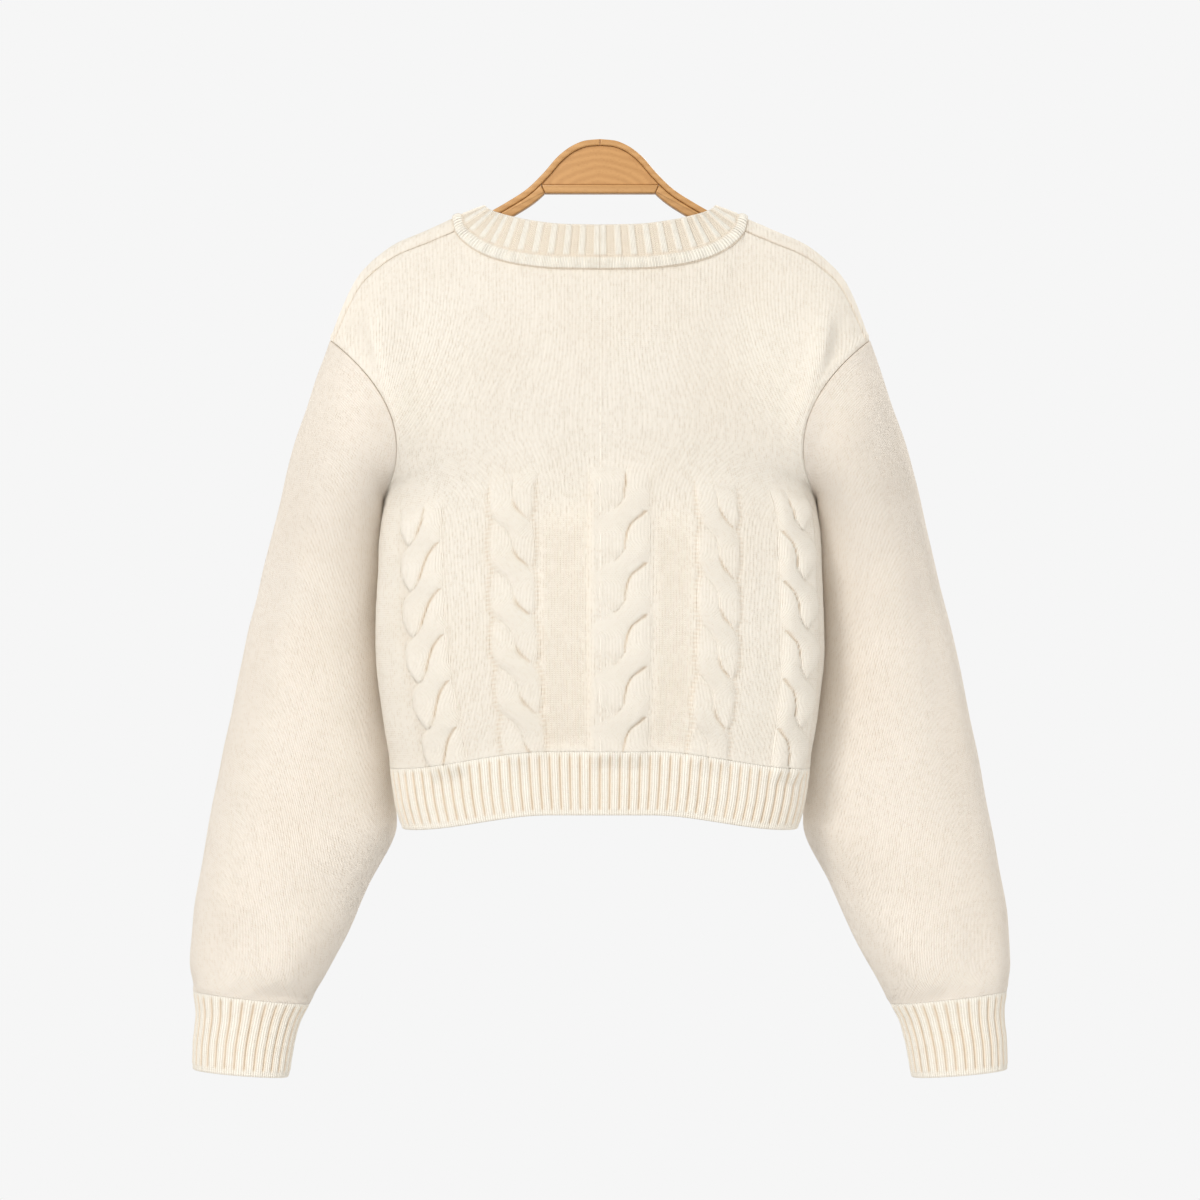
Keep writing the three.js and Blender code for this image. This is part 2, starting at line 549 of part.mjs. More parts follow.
// ---- cables and ribs -------------------------------------------------------------------------
// How far a rope cable stands out at a cloth distance from the centre line and a height z.
function cableRelief(cable, cloth, z) {
  const across = cloth - cable.at - (cable.drift * (z - CABLE_MIDDLE)) / 100;
  const phase = Math.max(-0.5, (cable.first - z) / cable.pitch);
  const opening = 1 + 0.35 * Math.max(0, -0.5 - (cable.first - z) / cable.pitch);
  const [swing, radius] = [cable.width * 0.235, cable.width * 0.27];
  const turn = Math.PI * phase;
  const slope = ((swing * Math.PI) / cable.pitch) * Math.cos(turn);
  const spread = radius * Math.hypot(1, slope);
  const centre = cable.lean * swing * opening * Math.sin(turn);
  const strand = (middle, top) =>
    cable.height * (0.66 + 0.34 * top) * Math.sqrt(clamp(1 - ((across - middle) / spread) ** 2));
  const top = cable.first + cable.pitch / 2 + CABLE_FADE;
  const fade = smooth((top - z) / CABLE_FADE);
  return fade * Math.max(strand(centre, Math.cos(turn)), strand(-centre, -Math.cos(turn)));
}

const cablesRelief = (cables, cloth, z) =>
  Math.max(0, ...cables.map((c) => cableRelief(c, cloth, z)));

// Columns that follow the cables: closer together over each cable than between them.
const CABLE_COLUMNS = 7;
function cableColumns(cables, from, to) {
  const half = (c) => c.width / 2;
  const places = cables
    .toSorted((a, b) => a.at - b.at)
    .flatMap((c) => steps(c.at - half(c), c.at + half(c), CABLE_COLUMNS));
  const inside = places.filter((p) => p > from + 1 && p < to - 1);
  const all = [from, ...inside, to];
  return all.flatMap((p, i) => {
    const gap = i ? p - all[i - 1] : 0;
    return gap > 16 ? [...steps(all[i - 1], p, Math.ceil(gap / 13)).slice(1)] : [p];
  });
}

// ---- pieces ----------------------------------------------------------------------------------
const HALF_WALL = KNIT_WALL / 2;
const BACK_LOWER_ROWS = 29;
const FRONT_LOWER_ROWS = 24;
const INNER_LOWER_ROWS = 8;

// Columns as shares of each edge. Pieces that are sewn together use the same ones.
const bothWays = (half) => [...half.slice(1).toReversed().map((s) => -s), ...half];
const NECK_STATIONS = [0, 0.14, 0.28, 0.42, 0.55, 0.66, 0.75, 0.82, 0.88, 0.94, 1];
const SHOULDER_STATIONS = [0, 0.13, 0.27, 0.42, 0.57, 0.7, 0.8, 0.9, 1];
const BACK_INNER = bothWays([0, 0.12, 0.24, 0.36, 0.48, 0.6, 0.72, 0.84, 0.93, 1]);
const FRONT_INNER = [0, 0.15, 0.32, 0.5, 0.65, 0.78, 0.88, 0.95, 1];

// The levels of the rows above the underarm, where panels and sleeve share the armhole's points.
const BACK_ARM_DEGREES = [170, 158, 140, 120, 100, 80, 60, 40, 25];
const BACK_UPPER_LEVELS = [
  ...BACK_ARM_DEGREES.map((d) => 1 + (Math.PI - radians(d)) / (Math.PI - SEAM_ANGLE)),
  2,
];
const FRONT_UPPER_LEVELS = [
  ...[0.06, 0.13, 0.21, 0.3, 0.4, 0.5, 0.6, 0.7, 0.79, 0.87, 0.94, 1].map((t) => mix(1, FRONT_TURN_LEVEL, t)),
  ...steps(FRONT_TURN_LEVEL, 2, 4).slice(1),
];

// All round the armhole the walls of panel and sleeve meet on one direction, halfway between
// the two surfaces.
function armholeNormal(hand, angle) {
  const [back, front] = [backArmLevel(Math.abs(angle)), frontArmLevel(angle)];
  const onBack = angle >= SEAM_ANGLE;
  const panel = onBack
    ? normalOf(backPoint, 0.97, Math.min(back, 1.98), -1)
    : normalOf((u, v) => frontPoint(1, u, v), 0.97, Math.min(front, 1.98), 1);
  const sleeveSurface = (a, share) => tubePoint(SLEEVE, 1, a, share, []);
  const n = panel.add(normalOf(sleeveSurface, angle, 0.03, 1)).normalize();
  return vec(hand * n.x, Math.abs(angle) > 3.1 ? 0 : n.y, n.z);
}

// The direction in which the panel's edge is drawn back from the sleeve at the armhole.
function awayFromSleeve(hand, angle) {
  const d = tubePoint(SLEEVE, 1, angle, 0, []).sub(tubePoint(SLEEVE, 1, angle, 0.03, []));
  return d.normalize().multiply(vec(hand, 1, 1));
}

const levelled = (n) => vec(n.x, n.y, 0).normalize();

function backNormal(share, level) {
  const hand = Math.sign(share) || 1;
  if (level >= 1 && Math.abs(share) === 1) return armholeNormal(hand, backArmAngle(level - 1));
  const inside = hand * Math.min(Math.abs(share), 0.995);
  if (level === 2 && Math.abs(share) <= NECK_SHARE)
    return bandNormal(hand, (Math.abs(share) / NECK_SHARE) * BAND[BAND_SHOULDER_SEAM].along, 0.01);
  if (level === 2) return seamNormal(hand, (Math.abs(share) - NECK_SHARE) / (1 - NECK_SHARE));
  const n = normalOf(backPoint, inside, Math.min(level, 1.99), -1);
  return level < 0.1 ? levelled(n) : n;
}

// Square to the cloth at the shoulder seam.
function seamNormal(hand, along) {
  const n = normalOf(shoulderPoint, Math.min(0.99, Math.max(0.01, along)), SEAM_TURN, -1);
  return vec(hand * n.x, n.y, n.z);
}

// Cable squares are split along the strand on top.
const leanFor = (cables, clothAt) => (row, column) => {
  const near = cables.find((c) => Math.abs(c.at - clothAt(column)) < c.width / 2 + 1);
  return near ? near.lean : 1;
};

function backPanel() {
  const cables = BACK_CABLES;
  const fine = cableColumns(cables, -HALF_RING, HALF_RING).map((cloth) => cloth / HALF_RING);
  const upper = bothWays([
    ...NECK_STATIONS.map((t) => t * NECK_SHARE),
    ...SHOULDER_STATIONS.slice(1).map((t) => mix(NECK_SHARE, 1, t)),
  ]);
  const relief = (share, level) =>
    level < 1 ? cablesRelief(cables, share * HALF_RING, mix(HEM_TOP, UNDERARM, level)) : 0;
  const special = (u, v) =>
    v >= 1 && Math.abs(u) === 1 ? awayFromSleeve(u, backArmAngle(v - 1)) : null;
  const trimmed = inset(backPoint, { u0: -1, u1: 1, v0: 0, v1: 2, special });
  const lower = (us, rows, offset) => rowsOn(trimmed, backNormal, us, steps(0, 1, rows), offset);
  const above = (offset) => rowsOn(trimmed, backNormal, upper, BACK_UPPER_LEVELS, offset);
  return Wall.close(
    [...lower(fine, BACK_LOWER_ROWS, (u, v) => HALF_WALL + relief(u, v)), ...above(() => HALF_WALL)],
    [...lower(BACK_INNER, INNER_LOWER_ROWS, () => -HALF_WALL), ...above(() => -HALF_WALL)],
    { leanAt: leanFor(cables, (column) => (fine[column] ?? 0) * HALF_RING) },
  );
}

function frontPanel(hand) {
  const surface = (u, v) => frontPoint(hand, u, v);
  const normal = (share, level) => {
    if (level >= 1 && share === 1) return armholeNormal(hand, frontArmAngle(level));
    if (level === 2) return seamNormal(hand, share);
    if (level > 1 && share === 0) return bandNormal(hand, frontBandAlong(level), 0.01);
    const n = normalOf(surface, Math.min(0.99, Math.max(0.01, share)), Math.min(level, 1.99), hand);
    return level < 0.1 ? levelled(n) : n;
  };
  const cables = FRONT_CABLES.map((c) => ({ ...c, lean: c.lean * hand }));
  const cloth = (share) => mix(PLACKET_HALF, HALF_RING, share);
  const fine = cableColumns(cables, PLACKET_HALF, HALF_RING).map(
    (at) => (at - PLACKET_HALF) / (HALF_RING - PLACKET_HALF),
  );
  const relief = (share, level) =>
    level < 1 ? cablesRelief(cables, cloth(share), mix(HEM_TOP, UNDERARM, level)) : 0;
  const special = (u, v) => (v >= 1 && u === 1 ? awayFromSleeve(hand, frontArmAngle(v)) : null);
  const trimmed = inset(surface, { u0: 0, u1: 1, v0: 0, v1: 2, special });
  const lower = (us, rows, offset) => rowsOn(trimmed, normal, us, steps(0, 1, rows), offset);
  const above = (offset) =>
    rowsOn(trimmed, normal, SHOULDER_STATIONS, FRONT_UPPER_LEVELS, offset);
  return Wall.close(
    [...lower(fine, FRONT_LOWER_ROWS, (u, v) => HALF_WALL + relief(u, v)), ...above(() => HALF_WALL)],
    [...lower(FRONT_INNER, INNER_LOWER_ROWS, () => -HALF_WALL), ...above(() => -HALF_WALL)],
    { leanAt: leanFor(cables, (column) => cloth(fine[column] ?? 0)) },
  );
}

// The outer rows of a ribbed border: full ribs, then down to a plain roll at its free edge.
// The surface's second share runs from its sewn edge (0) to its free edge (1).
function ribbedRows(surface, normal, columns, length, ribHeight) {
  const rows = [
    { share: 0, ribs: 1, plain: 0 },
    { share: 1 - (1.3 * EDGE_ROLL) / length, ribs: 1, plain: 0 },
    { share: 1 - (0.8 * EDGE_ROLL) / length, ribs: 0, plain: 0.75 },
    { share: 1, ribs: 0, plain: 0 },
  ];
  return rows.map(({ share, ribs, plain }) =>
    columns.map((u, column) => {
      const raised = ribHeight * (ribs * (column % 2) + plain);
      return surface(u, share).addScaledVector(normal(u, share), HALF_WALL + raised);
    }),
  );
}

function hemPiece(ribs, innerColumns, pointAt, out) {
  const [from, to] = [innerColumns[0], innerColumns.at(-1)];
  const height = HEM_TOP - HEM_BOTTOM;
  const surface = (u, v) => pointAt(u, mix(HEM_TOP, HEM_BOTTOM, v));
  const inside = (u) => Math.min(to - 0.005, Math.max(from + 0.005, u));
  const normal = (u, v) => levelled(normalOf(surface, inside(u), Math.max(v, 0.01), out));
  const trimmed = inset(surface, { u0: from, u1: to, v0: 0 });
  return Wall.close(
    ribbedRows(trimmed, normal, steps(from, to, 2 * ribs), height, RIB_HEIGHT),
    rowsOn(trimmed, normal, innerColumns, [0, 0.5, 1], () => -HALF_WALL),
  );
}

const hemBack = () => hemPiece(HEM_RIBS_BACK, BACK_INNER, (u, z) => ringPoint(u, z, 1), 1);
const hemFront = (hand) =>
  hemPiece(HEM_RIBS_FRONT, FRONT_INNER, (u, z) => frontLower(hand, u, z), -hand);

// A sleeve or cuff surface: angle round it, and share of its length from the first section.
function tubePoint(sections, hand, angle, share, folds) {
  const table = sections.map((s, i) => ({ ...s, key: i / (sections.length - 1) }));
  const names = ["outerX", "outerZ", "innerX", "innerZ", "midY", "halfDepth", "bow"];
  const section = Object.fromEntries(names.map((n) => [n, read(table, "key", n, clamp(share))]));
  const p = sectionPoint(section, angle);
  let height = 0;
  for (const f of folds) {
    const away = THREE.MathUtils.euclideanModulo(THREE.MathUtils.radToDeg(angle) - f.angle + 180, 360) - 180;
    const within = (share - f.from) / (f.to - f.from);
    if (within > 0 && within < 1)
      height += f.height * Math.exp(-((away / f.width) ** 2)) * Math.sin(Math.PI * within);
  }
  p.addScaledVector(sectionNormal(section, angle), height);
  return vec(hand * p.x, p.y, p.z);
}

function sleeve(hand) {
  const back = [180, ...BACK_ARM_DEGREES].map(radians).concat(SEAM_ANGLE).toReversed();
  const front = FRONT_UPPER_LEVELS.slice(0, -1).map(frontArmAngle).toReversed();
  const angles = [...back, ...front.toReversed()];
  const surface = (angle, share) => tubePoint(SLEEVE, hand, angle, share, SLEEVE_FOLDS);
  const normal = (angle, share) => {
    if (share > 0 && share < 1) return normalOf(surface, angle, share, hand);
    const n = sectionNormal(share ? SLEEVE.at(-1) : SLEEVE[0], angle);
    return vec(hand * n.x, n.y, n.z);
  };
  const trimmed = inset(surface, { v0: 0, v1: 1 });
  return Wall.close(
    rowsOn(trimmed, normal, angles, steps(0, 1, 15), () => HALF_WALL),
    rowsOn(trimmed, normal, angles, steps(0, 1, 8), () => -HALF_WALL),
    { closed: true },
  );
}

function cuff(hand) {
  const surface = (turn, share) => tubePoint(CUFF, hand, turn * 2 * Math.PI, share, []);
  const normal = (turn, share) => {
    const n = sectionNormal(CUFF[share < 0.5 ? 0 : CUFF.length - 1], turn * 2 * Math.PI);
    return vec(hand * n.x, n.y, n.z);
  };
  const trimmed = inset(surface, { v0: 0 });
  const around = (count) => steps(0, 1, count).slice(0, -1);
  return Wall.close(
    ribbedRows(trimmed, normal, around(2 * CUFF_RIBS), CUFF_LENGTH, RIB_HEIGHT),
    rowsOn(trimmed, normal, around(20), [0, 0.5, 1], () => -HALF_WALL),
    { closed: true },
  );
}

function band(hand) {
  const surface = (along, share) => bandPoint(hand, along, share);
  const normal = (along, share) => {
    const n = bandNormal(hand, Math.min(along, BAND_LENGTH - 1), Math.min(0.99, Math.max(0.01, share)));
    return along > V_LENGTH ? levelled(n) : n;
  };
  const trimmed = (along, share) => {
    const p = surface(along, share);
    const inward = surface(along, share + 0.01).sub(p).setLength(share ? 0 : SEAM_GAP / 2);
    const onward = surface(along + 1, share).sub(p).setLength(along ? 0 : SEAM_GAP / 2);
    return p.add(inward).add(onward);
  };
  const stops = [0, BAND[BAND_SHOULDER_SEAM].along, V_LENGTH, BAND_LENGTH];
  const columns = (perRib) =>
    Object.values(BAND_RIBS).flatMap((ribs, i) =>
      steps(stops[i], stops[i + 1], Math.round(ribs * perRib)).slice(i ? 1 : 0),
    );
  const rows = [
    { share: 0, ribs: 0, roll: 0 },
    { share: BAND_SEAM_SHARE / 2, ribs: 0.4, roll: 1 },
    { share: BAND_SEAM_SHARE, ribs: 1, roll: 0 },
    { share: 1, ribs: 1, roll: 0 },
  ];
  const outer = rows.map(({ share, ribs, roll }) =>
    columns(2).map((a, column) => {
      const raised = ribs * (column % 2) * RIB_HEIGHT * BAND_RIB_SHARE + roll * BAND_SEAM_ROLL;
      return trimmed(a, share).addScaledVector(normal(a, share), HALF_WALL + raised);
    }),
  );
  return Wall.close(outer, rowsOn(trimmed, normal, columns(2), [0, 1], () => -HALF_WALL));
}

function button() {
  const profile = [
    [0, 0],
    [BUTTON_RADIUS - 1, 0],
    [BUTTON_RADIUS, 1],
    [BUTTON_RADIUS, BUTTON_THICKNESS - 0.8],
    [BUTTON_RADIUS - 1, BUTTON_THICKNESS],
    [BUTTON_RADIUS - 2.4, BUTTON_THICKNESS - 0.9],
    [0, BUTTON_THICKNESS - 0.9],
  ].map(([r, y]) => new THREE.Vector2(r, y));
  return new THREE.LatheGeometry(profile, 14);
}

// ---- hanger ------------------------------------------------------------------------------------
// A line below the hanger's top line by `depth`, measured square to it, from one share to another.
function hangerLine(depth, from, to, count) {
  return steps(from, to, count).map((along) => {
    const at = (t) => [read(HANGER_TOP, "along", "x", t), read(HANGER_TOP, "along", "z", t)];
    const [a, b] = [at(Math.max(0, along - 0.01)), at(Math.min(1, along + 0.01))];
    const length = Math.hypot(b[0] - a[0], b[1] - a[1]);
    const [x, z] = at(along);
    const level = along === 0;
    return [
      x + (level ? 0 : (depth * (b[1] - a[1])) / length),
      z - (level ? depth : (depth * (b[0] - a[0])) / length),
    ];
  });
}

function slab(outline, width) {
  const shape = new THREE.Shape(outline.map(([x, z]) => new THREE.Vector2(x, z)));
  const geometry = new THREE.ExtrudeGeometry(shape, { depth: width, bevelEnabled: false });
  return geometry.translate(0, 0, -width / 2).rotateX(Math.PI / 2);
}

const GLUE_GAP = 0.4;

// The part of a line that lies below a height, starting exactly at that height.
function below(line, z) {
  const first = line.findIndex((p) => p[1] < z);
  const [a, b] = [line[first - 1], line[first]];
  const t = (z - a[1]) / (b[1] - a[1]);
  return [[mix(a[0], b[0], t), z], ...line.slice(first)];
}

function hangerOuterStrip(hand) {
  const outline = [
    ...hangerLine(0, 0, 1, 18),
    ...hangerLine(OUTER_STRIP, 0, 1, 18).toReversed(),
  ].map(([x, z]) => [hand * Math.max(x, GLUE_GAP / 2), z]);
  return slab(outline, HANGER_WIDTH);
}

// The upper and lower line of the inner strip, from the end of the crossbar to the arm's tip.
function innerStripLines() {
  const depth = OUTER_STRIP + GLUE_GAP;
  return [
    below(hangerLine(depth, 0, 1, 20), CROSSBAR_TOP),
    below(hangerLine(depth + INNER_STRIP, 0, 1, 20), CROSSBAR_TOP - INNER_STRIP),
  ];
}

function hangerInnerStrip(hand) {
  const [upper, lower] = innerStripLines();
  return slab([...upper, ...lower.toReversed()].map(([x, z]) => [hand * x, z]), HANGER_WIDTH);
}

// The crossbar ends in a mitre against the inner strip of each arm.
function hangerCrossbar() {
  const right = innerStripLines().map(([[x, z]]) => [x - GLUE_GAP, z]);
  const left = right.toReversed().map(([x, z]) => [-x, z]);
  return slab([...right, ...left], HANGER_WIDTH);
}

function hangerPanel() {
  const floor = CROSSBAR_TOP + GLUE_GAP;
  const arch = hangerLine(OUTER_STRIP + GLUE_GAP, 0, 1, 36);
  const foot = below(arch, floor)[0];
  const right = [...arch.filter(([, z]) => z > floor + 0.5), foot];
  const left = right.slice(1).toReversed().map(([x, z]) => [-x, z]);
  return slab([...right, ...left], HANGER_WIDTH - 4);
}

// ---- assembly ----------------------------------------------------------------------------------
const cardigan = new THREE.Group();

function place(name, geometry, finish) {
  const mesh = new THREE.Mesh(geometry, new THREE.MeshStandardMaterial(finish));
  mesh.name = name;
  cardigan.add(mesh);
  return mesh;
}

place("back_panel", backPanel(), CREAM);
place("hem_rib_back", hemBack(), CREAM);
for (const [hand, side] of [[1, "left"], [-1, "right"]]) {
  place(`front_panel_${side}`, frontPanel(hand), CREAM);
  place(`hem_rib_front_${side}`, hemFront(hand), CREAM);
  place(`sleeve_${side}`, sleeve(hand), CREAM);
  place(`cuff_${side}`, cuff(hand), CREAM);
  place(`band_${side}`, band(hand), CREAM);
  place(`hanger_outer_strip_${side}`, hangerOuterStrip(hand), BEECH);
  place(`hanger_inner_strip_${side}`, hangerInnerStrip(hand), BEECH);
}
place("hanger_crossbar", hangerCrossbar(), BEECH);
place("hanger_panel", hangerPanel(), BEECH);

BUTTON_HEIGHTS.forEach((z, i) => {
  const bandFace = ringPoint(0, z, -1).y - PLACKET_LIFT - HALF_WALL - RIB_HEIGHT * BAND_RIB_SHARE;
  const mesh = place(`button_${i + 1}`, button(), HORN);
  mesh.rotation.x = Math.PI;
  mesh.position.set(0, bandFace - 1.5 * SEAM_GAP, z);
});

export default cardigan;
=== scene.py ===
"""A cropped cable-knit cardigan on a bentwood hanger: its yarn, sewing, buttons and wood.

Shapes are worked out in millimetres from the solids' own named sizes and built in metres, in the
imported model's frame. The wearer's left is +X, the front faces -Y and the back faces +Y."""

import bmesh
import bpy
import numpy as np
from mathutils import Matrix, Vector


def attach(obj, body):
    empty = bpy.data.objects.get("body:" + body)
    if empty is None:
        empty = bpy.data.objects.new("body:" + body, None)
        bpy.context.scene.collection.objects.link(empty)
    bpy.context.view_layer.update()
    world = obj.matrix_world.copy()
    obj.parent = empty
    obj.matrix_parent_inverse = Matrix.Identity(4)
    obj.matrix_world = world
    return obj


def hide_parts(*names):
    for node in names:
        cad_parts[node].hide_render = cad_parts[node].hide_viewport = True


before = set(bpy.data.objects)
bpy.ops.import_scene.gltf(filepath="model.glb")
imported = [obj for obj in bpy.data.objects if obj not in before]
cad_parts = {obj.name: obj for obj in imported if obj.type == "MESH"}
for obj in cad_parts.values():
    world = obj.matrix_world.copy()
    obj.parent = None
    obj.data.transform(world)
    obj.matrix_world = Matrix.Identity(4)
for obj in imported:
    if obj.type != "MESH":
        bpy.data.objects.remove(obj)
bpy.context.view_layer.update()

MM = 0.001
PI = np.pi

# ---- sizes shared with the solids --------------------
KNIT_WALL = 2.4
HALF_WALL = KNIT_WALL / 2
SEAM_GAP = 0.2  # clear space between two pieces where they are sewn together
HEM_BOTTOM, HEM_TOP, UNDERARM = -491, -445, -245
RING_POWER = 2.6  # how square a ring round the body is: 2 would be an ellipse
HALF_RING = 184  # from a centre line round to the side seam
NECK_SHARE = 0.575  # the part of the back's top edge that is sewn to the neck band
PLACKET_HALF = 16.5  # half the band's width down the front
PLACKET_LIFT = 4.4  # how far the upper front lies over the lower one
LIFT_REACH = 0.3  # the share of the upper front that is lifted beside its band
FOLD_OUT, FOLD_BACK = 0.5, 0.86  # how much of a fold's height goes sideways and back or forth
CUFF_LENGTH = 56
SHOULDER_ROUND = 12  # radius of the cloth's turn over the shoulder
SEAM_TURN = np.radians(68)  # where on that turn the shoulder seam lies
FRONT_TURN = np.radians(-60)  # where the turn ends in front
ARMHOLE_DEPTH = 40  # half the depth of a sleeve's top
ARMHOLE_CUT = 0.3  # how far the armhole cuts in, as a share of the panel
ARMHOLE_CUT_RISE = 0.42
TOP_SOFTNESS = 0.1  # the share of the back's top edge that its bends are evened out over
SEAM_ANGLE = np.arcsin(SHOULDER_ROUND * np.sin(SEAM_TURN) / ARMHOLE_DEPTH)


def vec(x, y, z):
    return np.stack(np.broadcast_arrays(x, y, z), -1).astype(float)


def spread(*values):
    """Numbers or grids of numbers, brought to one shape."""
    return np.broadcast_arrays(*(np.asarray(v, float) for v in values))


def mix(a, b, t):
    return a + (b - a) * t


def clamp(t):
    return np.clip(t, 0, 1)


def smooth(t):
    t = clamp(t)
    return t * t * (3 - 2 * t)


def bell(t):
    """1 where t is 0, falling away to both sides."""
    return np.exp(-(t**2))


def unit(v):
    return v / np.maximum(np.linalg.norm(v, axis=-1, keepdims=True), 1e-9)


def wide(t):
    """A number for each point, ready to multiply its coordinates."""
    return np.asarray(t)[..., None]


class Table:
    """Rows with named columns, read as smooth curves without overshoot along the key column."""

    def __init__(self, names, rows, key=None):
        self.columns = dict(zip(names.split(), np.array(rows, float).T))
        self.key = self.columns[key] if key else np.linspace(0, 1, len(rows))

    def read(self, name, at):
        xs, ys = self.key, self.columns[name]
        slope = np.diff(ys) / np.diff(xs)
        tangent = np.append(slope, slope[-1])
        a, b = slope[:-1], slope[1:]
        flat = a * b <= 0
        tangent[1:-1] = np.where(flat, 0, 2 * a * b / np.where(flat, 1, a + b))
        at = np.clip(at, xs[0], xs[-1])
        i = np.clip(np.searchsorted(xs, at, "right") - 1, 0, len(xs) - 2)
        span = xs[i + 1] - xs[i]
        t = (at - xs[i]) / span
        t2, t3 = t * t, t * t * t
        return (
            ys[i] * (2 * t3 - 3 * t2 + 1)
            + tangent[i] * span * (t3 - 2 * t2 + t)
            + ys[i + 1] * (3 * t2 - 2 * t3)
            + tangent[i + 1] * span * (t3 - t2)
        )


BODY = Table("z halfWidth halfDepth sag", [
    (-491, 142, 43, 12),
    (-470, 147.5, 46, 12),
    (-445, 151, 49, 13.5),
    (-410, 157, 53, 13),
    (-355, 162.5, 55, 13.5),
    (-300, 160.5, 54, 14),
    (-245, 155.5, 52.5, 14),
], "z")
SIDE_EASE = 1.5  # how much fuller the body is below the underarms, where the sleeves rest on it
RING_WIDTH, RING_DEPTH = 162.5, 55  # the row of BODY that the ring's shares are measured on
SHOULDER = Table("along x z", [
    (0, 107, -58.8),
    (0.2, 128, -68),
    (0.4, 150, -77.8),
    (0.55, 165, -89.2),
    (0.7, 177, -102.5),
    (0.84, 186.5, -121.5),
    (1, 196, -147),
], "along")
TUBE = "outerX outerZ innerX innerZ midY halfDepth bow"
SLEEVE = Table(TUBE, [
    (196, -147, 155.5, -259, 0, 40, 25),
    (207.5, -179.6, 159, -266, -3, 40, 11),
    (221.5, -218.3, 158.5, -283, -12, 39, 3),
    (234, -262.4, 158.5, -309, -22, 38, 0),
    (245, -306.7, 161.5, -345, -29, 37, 0),
    (256, -350, 159.5, -386, -33, 37, 0),
    (266, -394.6, 156, -426, -33, 37, 0),
    (275, -439, 151.5, -463, -32, 37, 0),
    (284, -483.5, 151, -500.5, -31, 36, 0),
    (292, -528, 171, -545, -30, 34, 0),
    (299, -571.3, 191.5, -590.5, -29, 31, 0),
    (301, -602.5, 207.5, -618.5, -28, 27, 0),
    (297.5, -624, 216, -633, -28, 21.5, 0),
])
CUFF = Table(TUBE, [
    (297.5, -624, 216, -633, -28, 21.5, 0),
    (295.5, -641, 223.5, -648, -28, 19, 0),
    (297.5, -662, 228.5, -668, -28, 18, 0),
    (298, -682, 231.5, -687.5, -28, 17.5, 0),
])
BAND_ROWS = np.array([
    (0, 33, -97, 0, 30, -64.6),
    (30, 32, -96.5, 26, 29, -64),
    (58, 28.5, -93.5, 50, 25.5, -61),
    (84, 22.5, -86, 68, 17.5, -56.5),
    (105, 11, -68, 80, 10, -52),
    (106.6, 6, -60.8, 82, 5, -50.3),
    (107, 0, -58.8, 82.5, 0, -49.8),
    (106.3, -6, -61, 82, -5, -50.8),
    (104.5, -11, -68.5, 79, -11, -56),
    (92, -22, -96, 62, -21, -84),
    (70, -33, -139, 40, -32, -125),
    (48, -42, -182, 18, -41, -168),
    (28, -48.5, -221, -2, -48.5, -208),
    (16.5, -52.4, -245, -16.5, -52.4, -245),
    (16.5, -53.6, -280, -16.5, -53.6, -280),
], float)
BAND_STEPS = np.linalg.norm(np.diff(BAND_ROWS[:, :3], axis=0), axis=1)
BAND_ALONG = np.concatenate([[0], np.cumsum(BAND_STEPS)])
BAND = Table(
    "along sewnX sewnY sewnZ freeX freeY freeZ",
    np.column_stack([BAND_ALONG, BAND_ROWS]),
    "along",
)
AT_SHOULDER_SEAM, AT_FRONT_TURN, AT_V_BOTTOM = BAND_ALONG[[4, 8, 13]]
BAND_LENGTH = AT_V_BOTTOM + UNDERARM - HEM_BOTTOM

# Rope cables. `at` is the cloth distance from the centre line at CABLE_MIDDLE and `drift` how far
# the cable has moved outwards 100 mm above that. `lean` is 1 where its strands come down towards
# +X. `rim` is how far a plain mound fills its outline, and `depth` how deep its creases are.
CABLE_MIDDLE = -375
CABLE_FADE = 20
CABLE = "at drift width height lean first pitch rim depth path".split()
# One strand of a rope, from where it comes out from under the other to where it goes back under:
# its edges, as shares of the cable's half width, and its height, by pitches down the cable.
TUCKED = Table("along left right height", [
    (0.0, 0.66, 0.97, 0.5),
    (0.24, 0.28, 1.0, 0.74),
    (0.43, 0.14, 1.0, 0.82),
    (0.6, 0.1, 1.0, 0.86),
    (0.7, 0.12, 0.99, 0.92),
    (0.815, 0.0, 0.97, 0.97),
    (0.925, -0.17, 0.94, 1.0),
    (1.02, -0.42, 0.88, 1.0),
    (1.14, -0.74, 0.66, 1.0),
    (1.24, -0.92, 0.42, 1.0),
    (1.43, -1.0, 0.27, 0.98),
    (1.6, -0.86, 0.21, 0.94),
    (1.7, -0.7, 0.19, 0.9),
    (1.815, -0.5, 0.09, 0.84),
    (1.9, -0.34, -0.03, 0.74),
    (1.97, -0.22, -0.13, 0.5),
], "along")
LOBED = Table("along left right height", [
    (0.0, 0.6, 0.97, 0.5),
    (0.24, 0.2, 1.0, 0.74),
    (0.43, 0.05, 1.0, 0.82),
    (0.6, -0.1, 1.0, 0.86),
    (0.8, -0.3, 0.98, 0.95),
    (0.97, -0.52, 0.92, 1.0),
    (1.1, -0.85, 0.7, 1.0),
    (1.3, -1.0, 0.4, 1.0),
    (1.55, -0.99, 0.15, 0.97),
    (1.75, -0.87, 0.02, 0.9),
    (1.9, -0.7, -0.2, 0.78),
    (1.97, -0.6, -0.42, 0.5),
], "along")
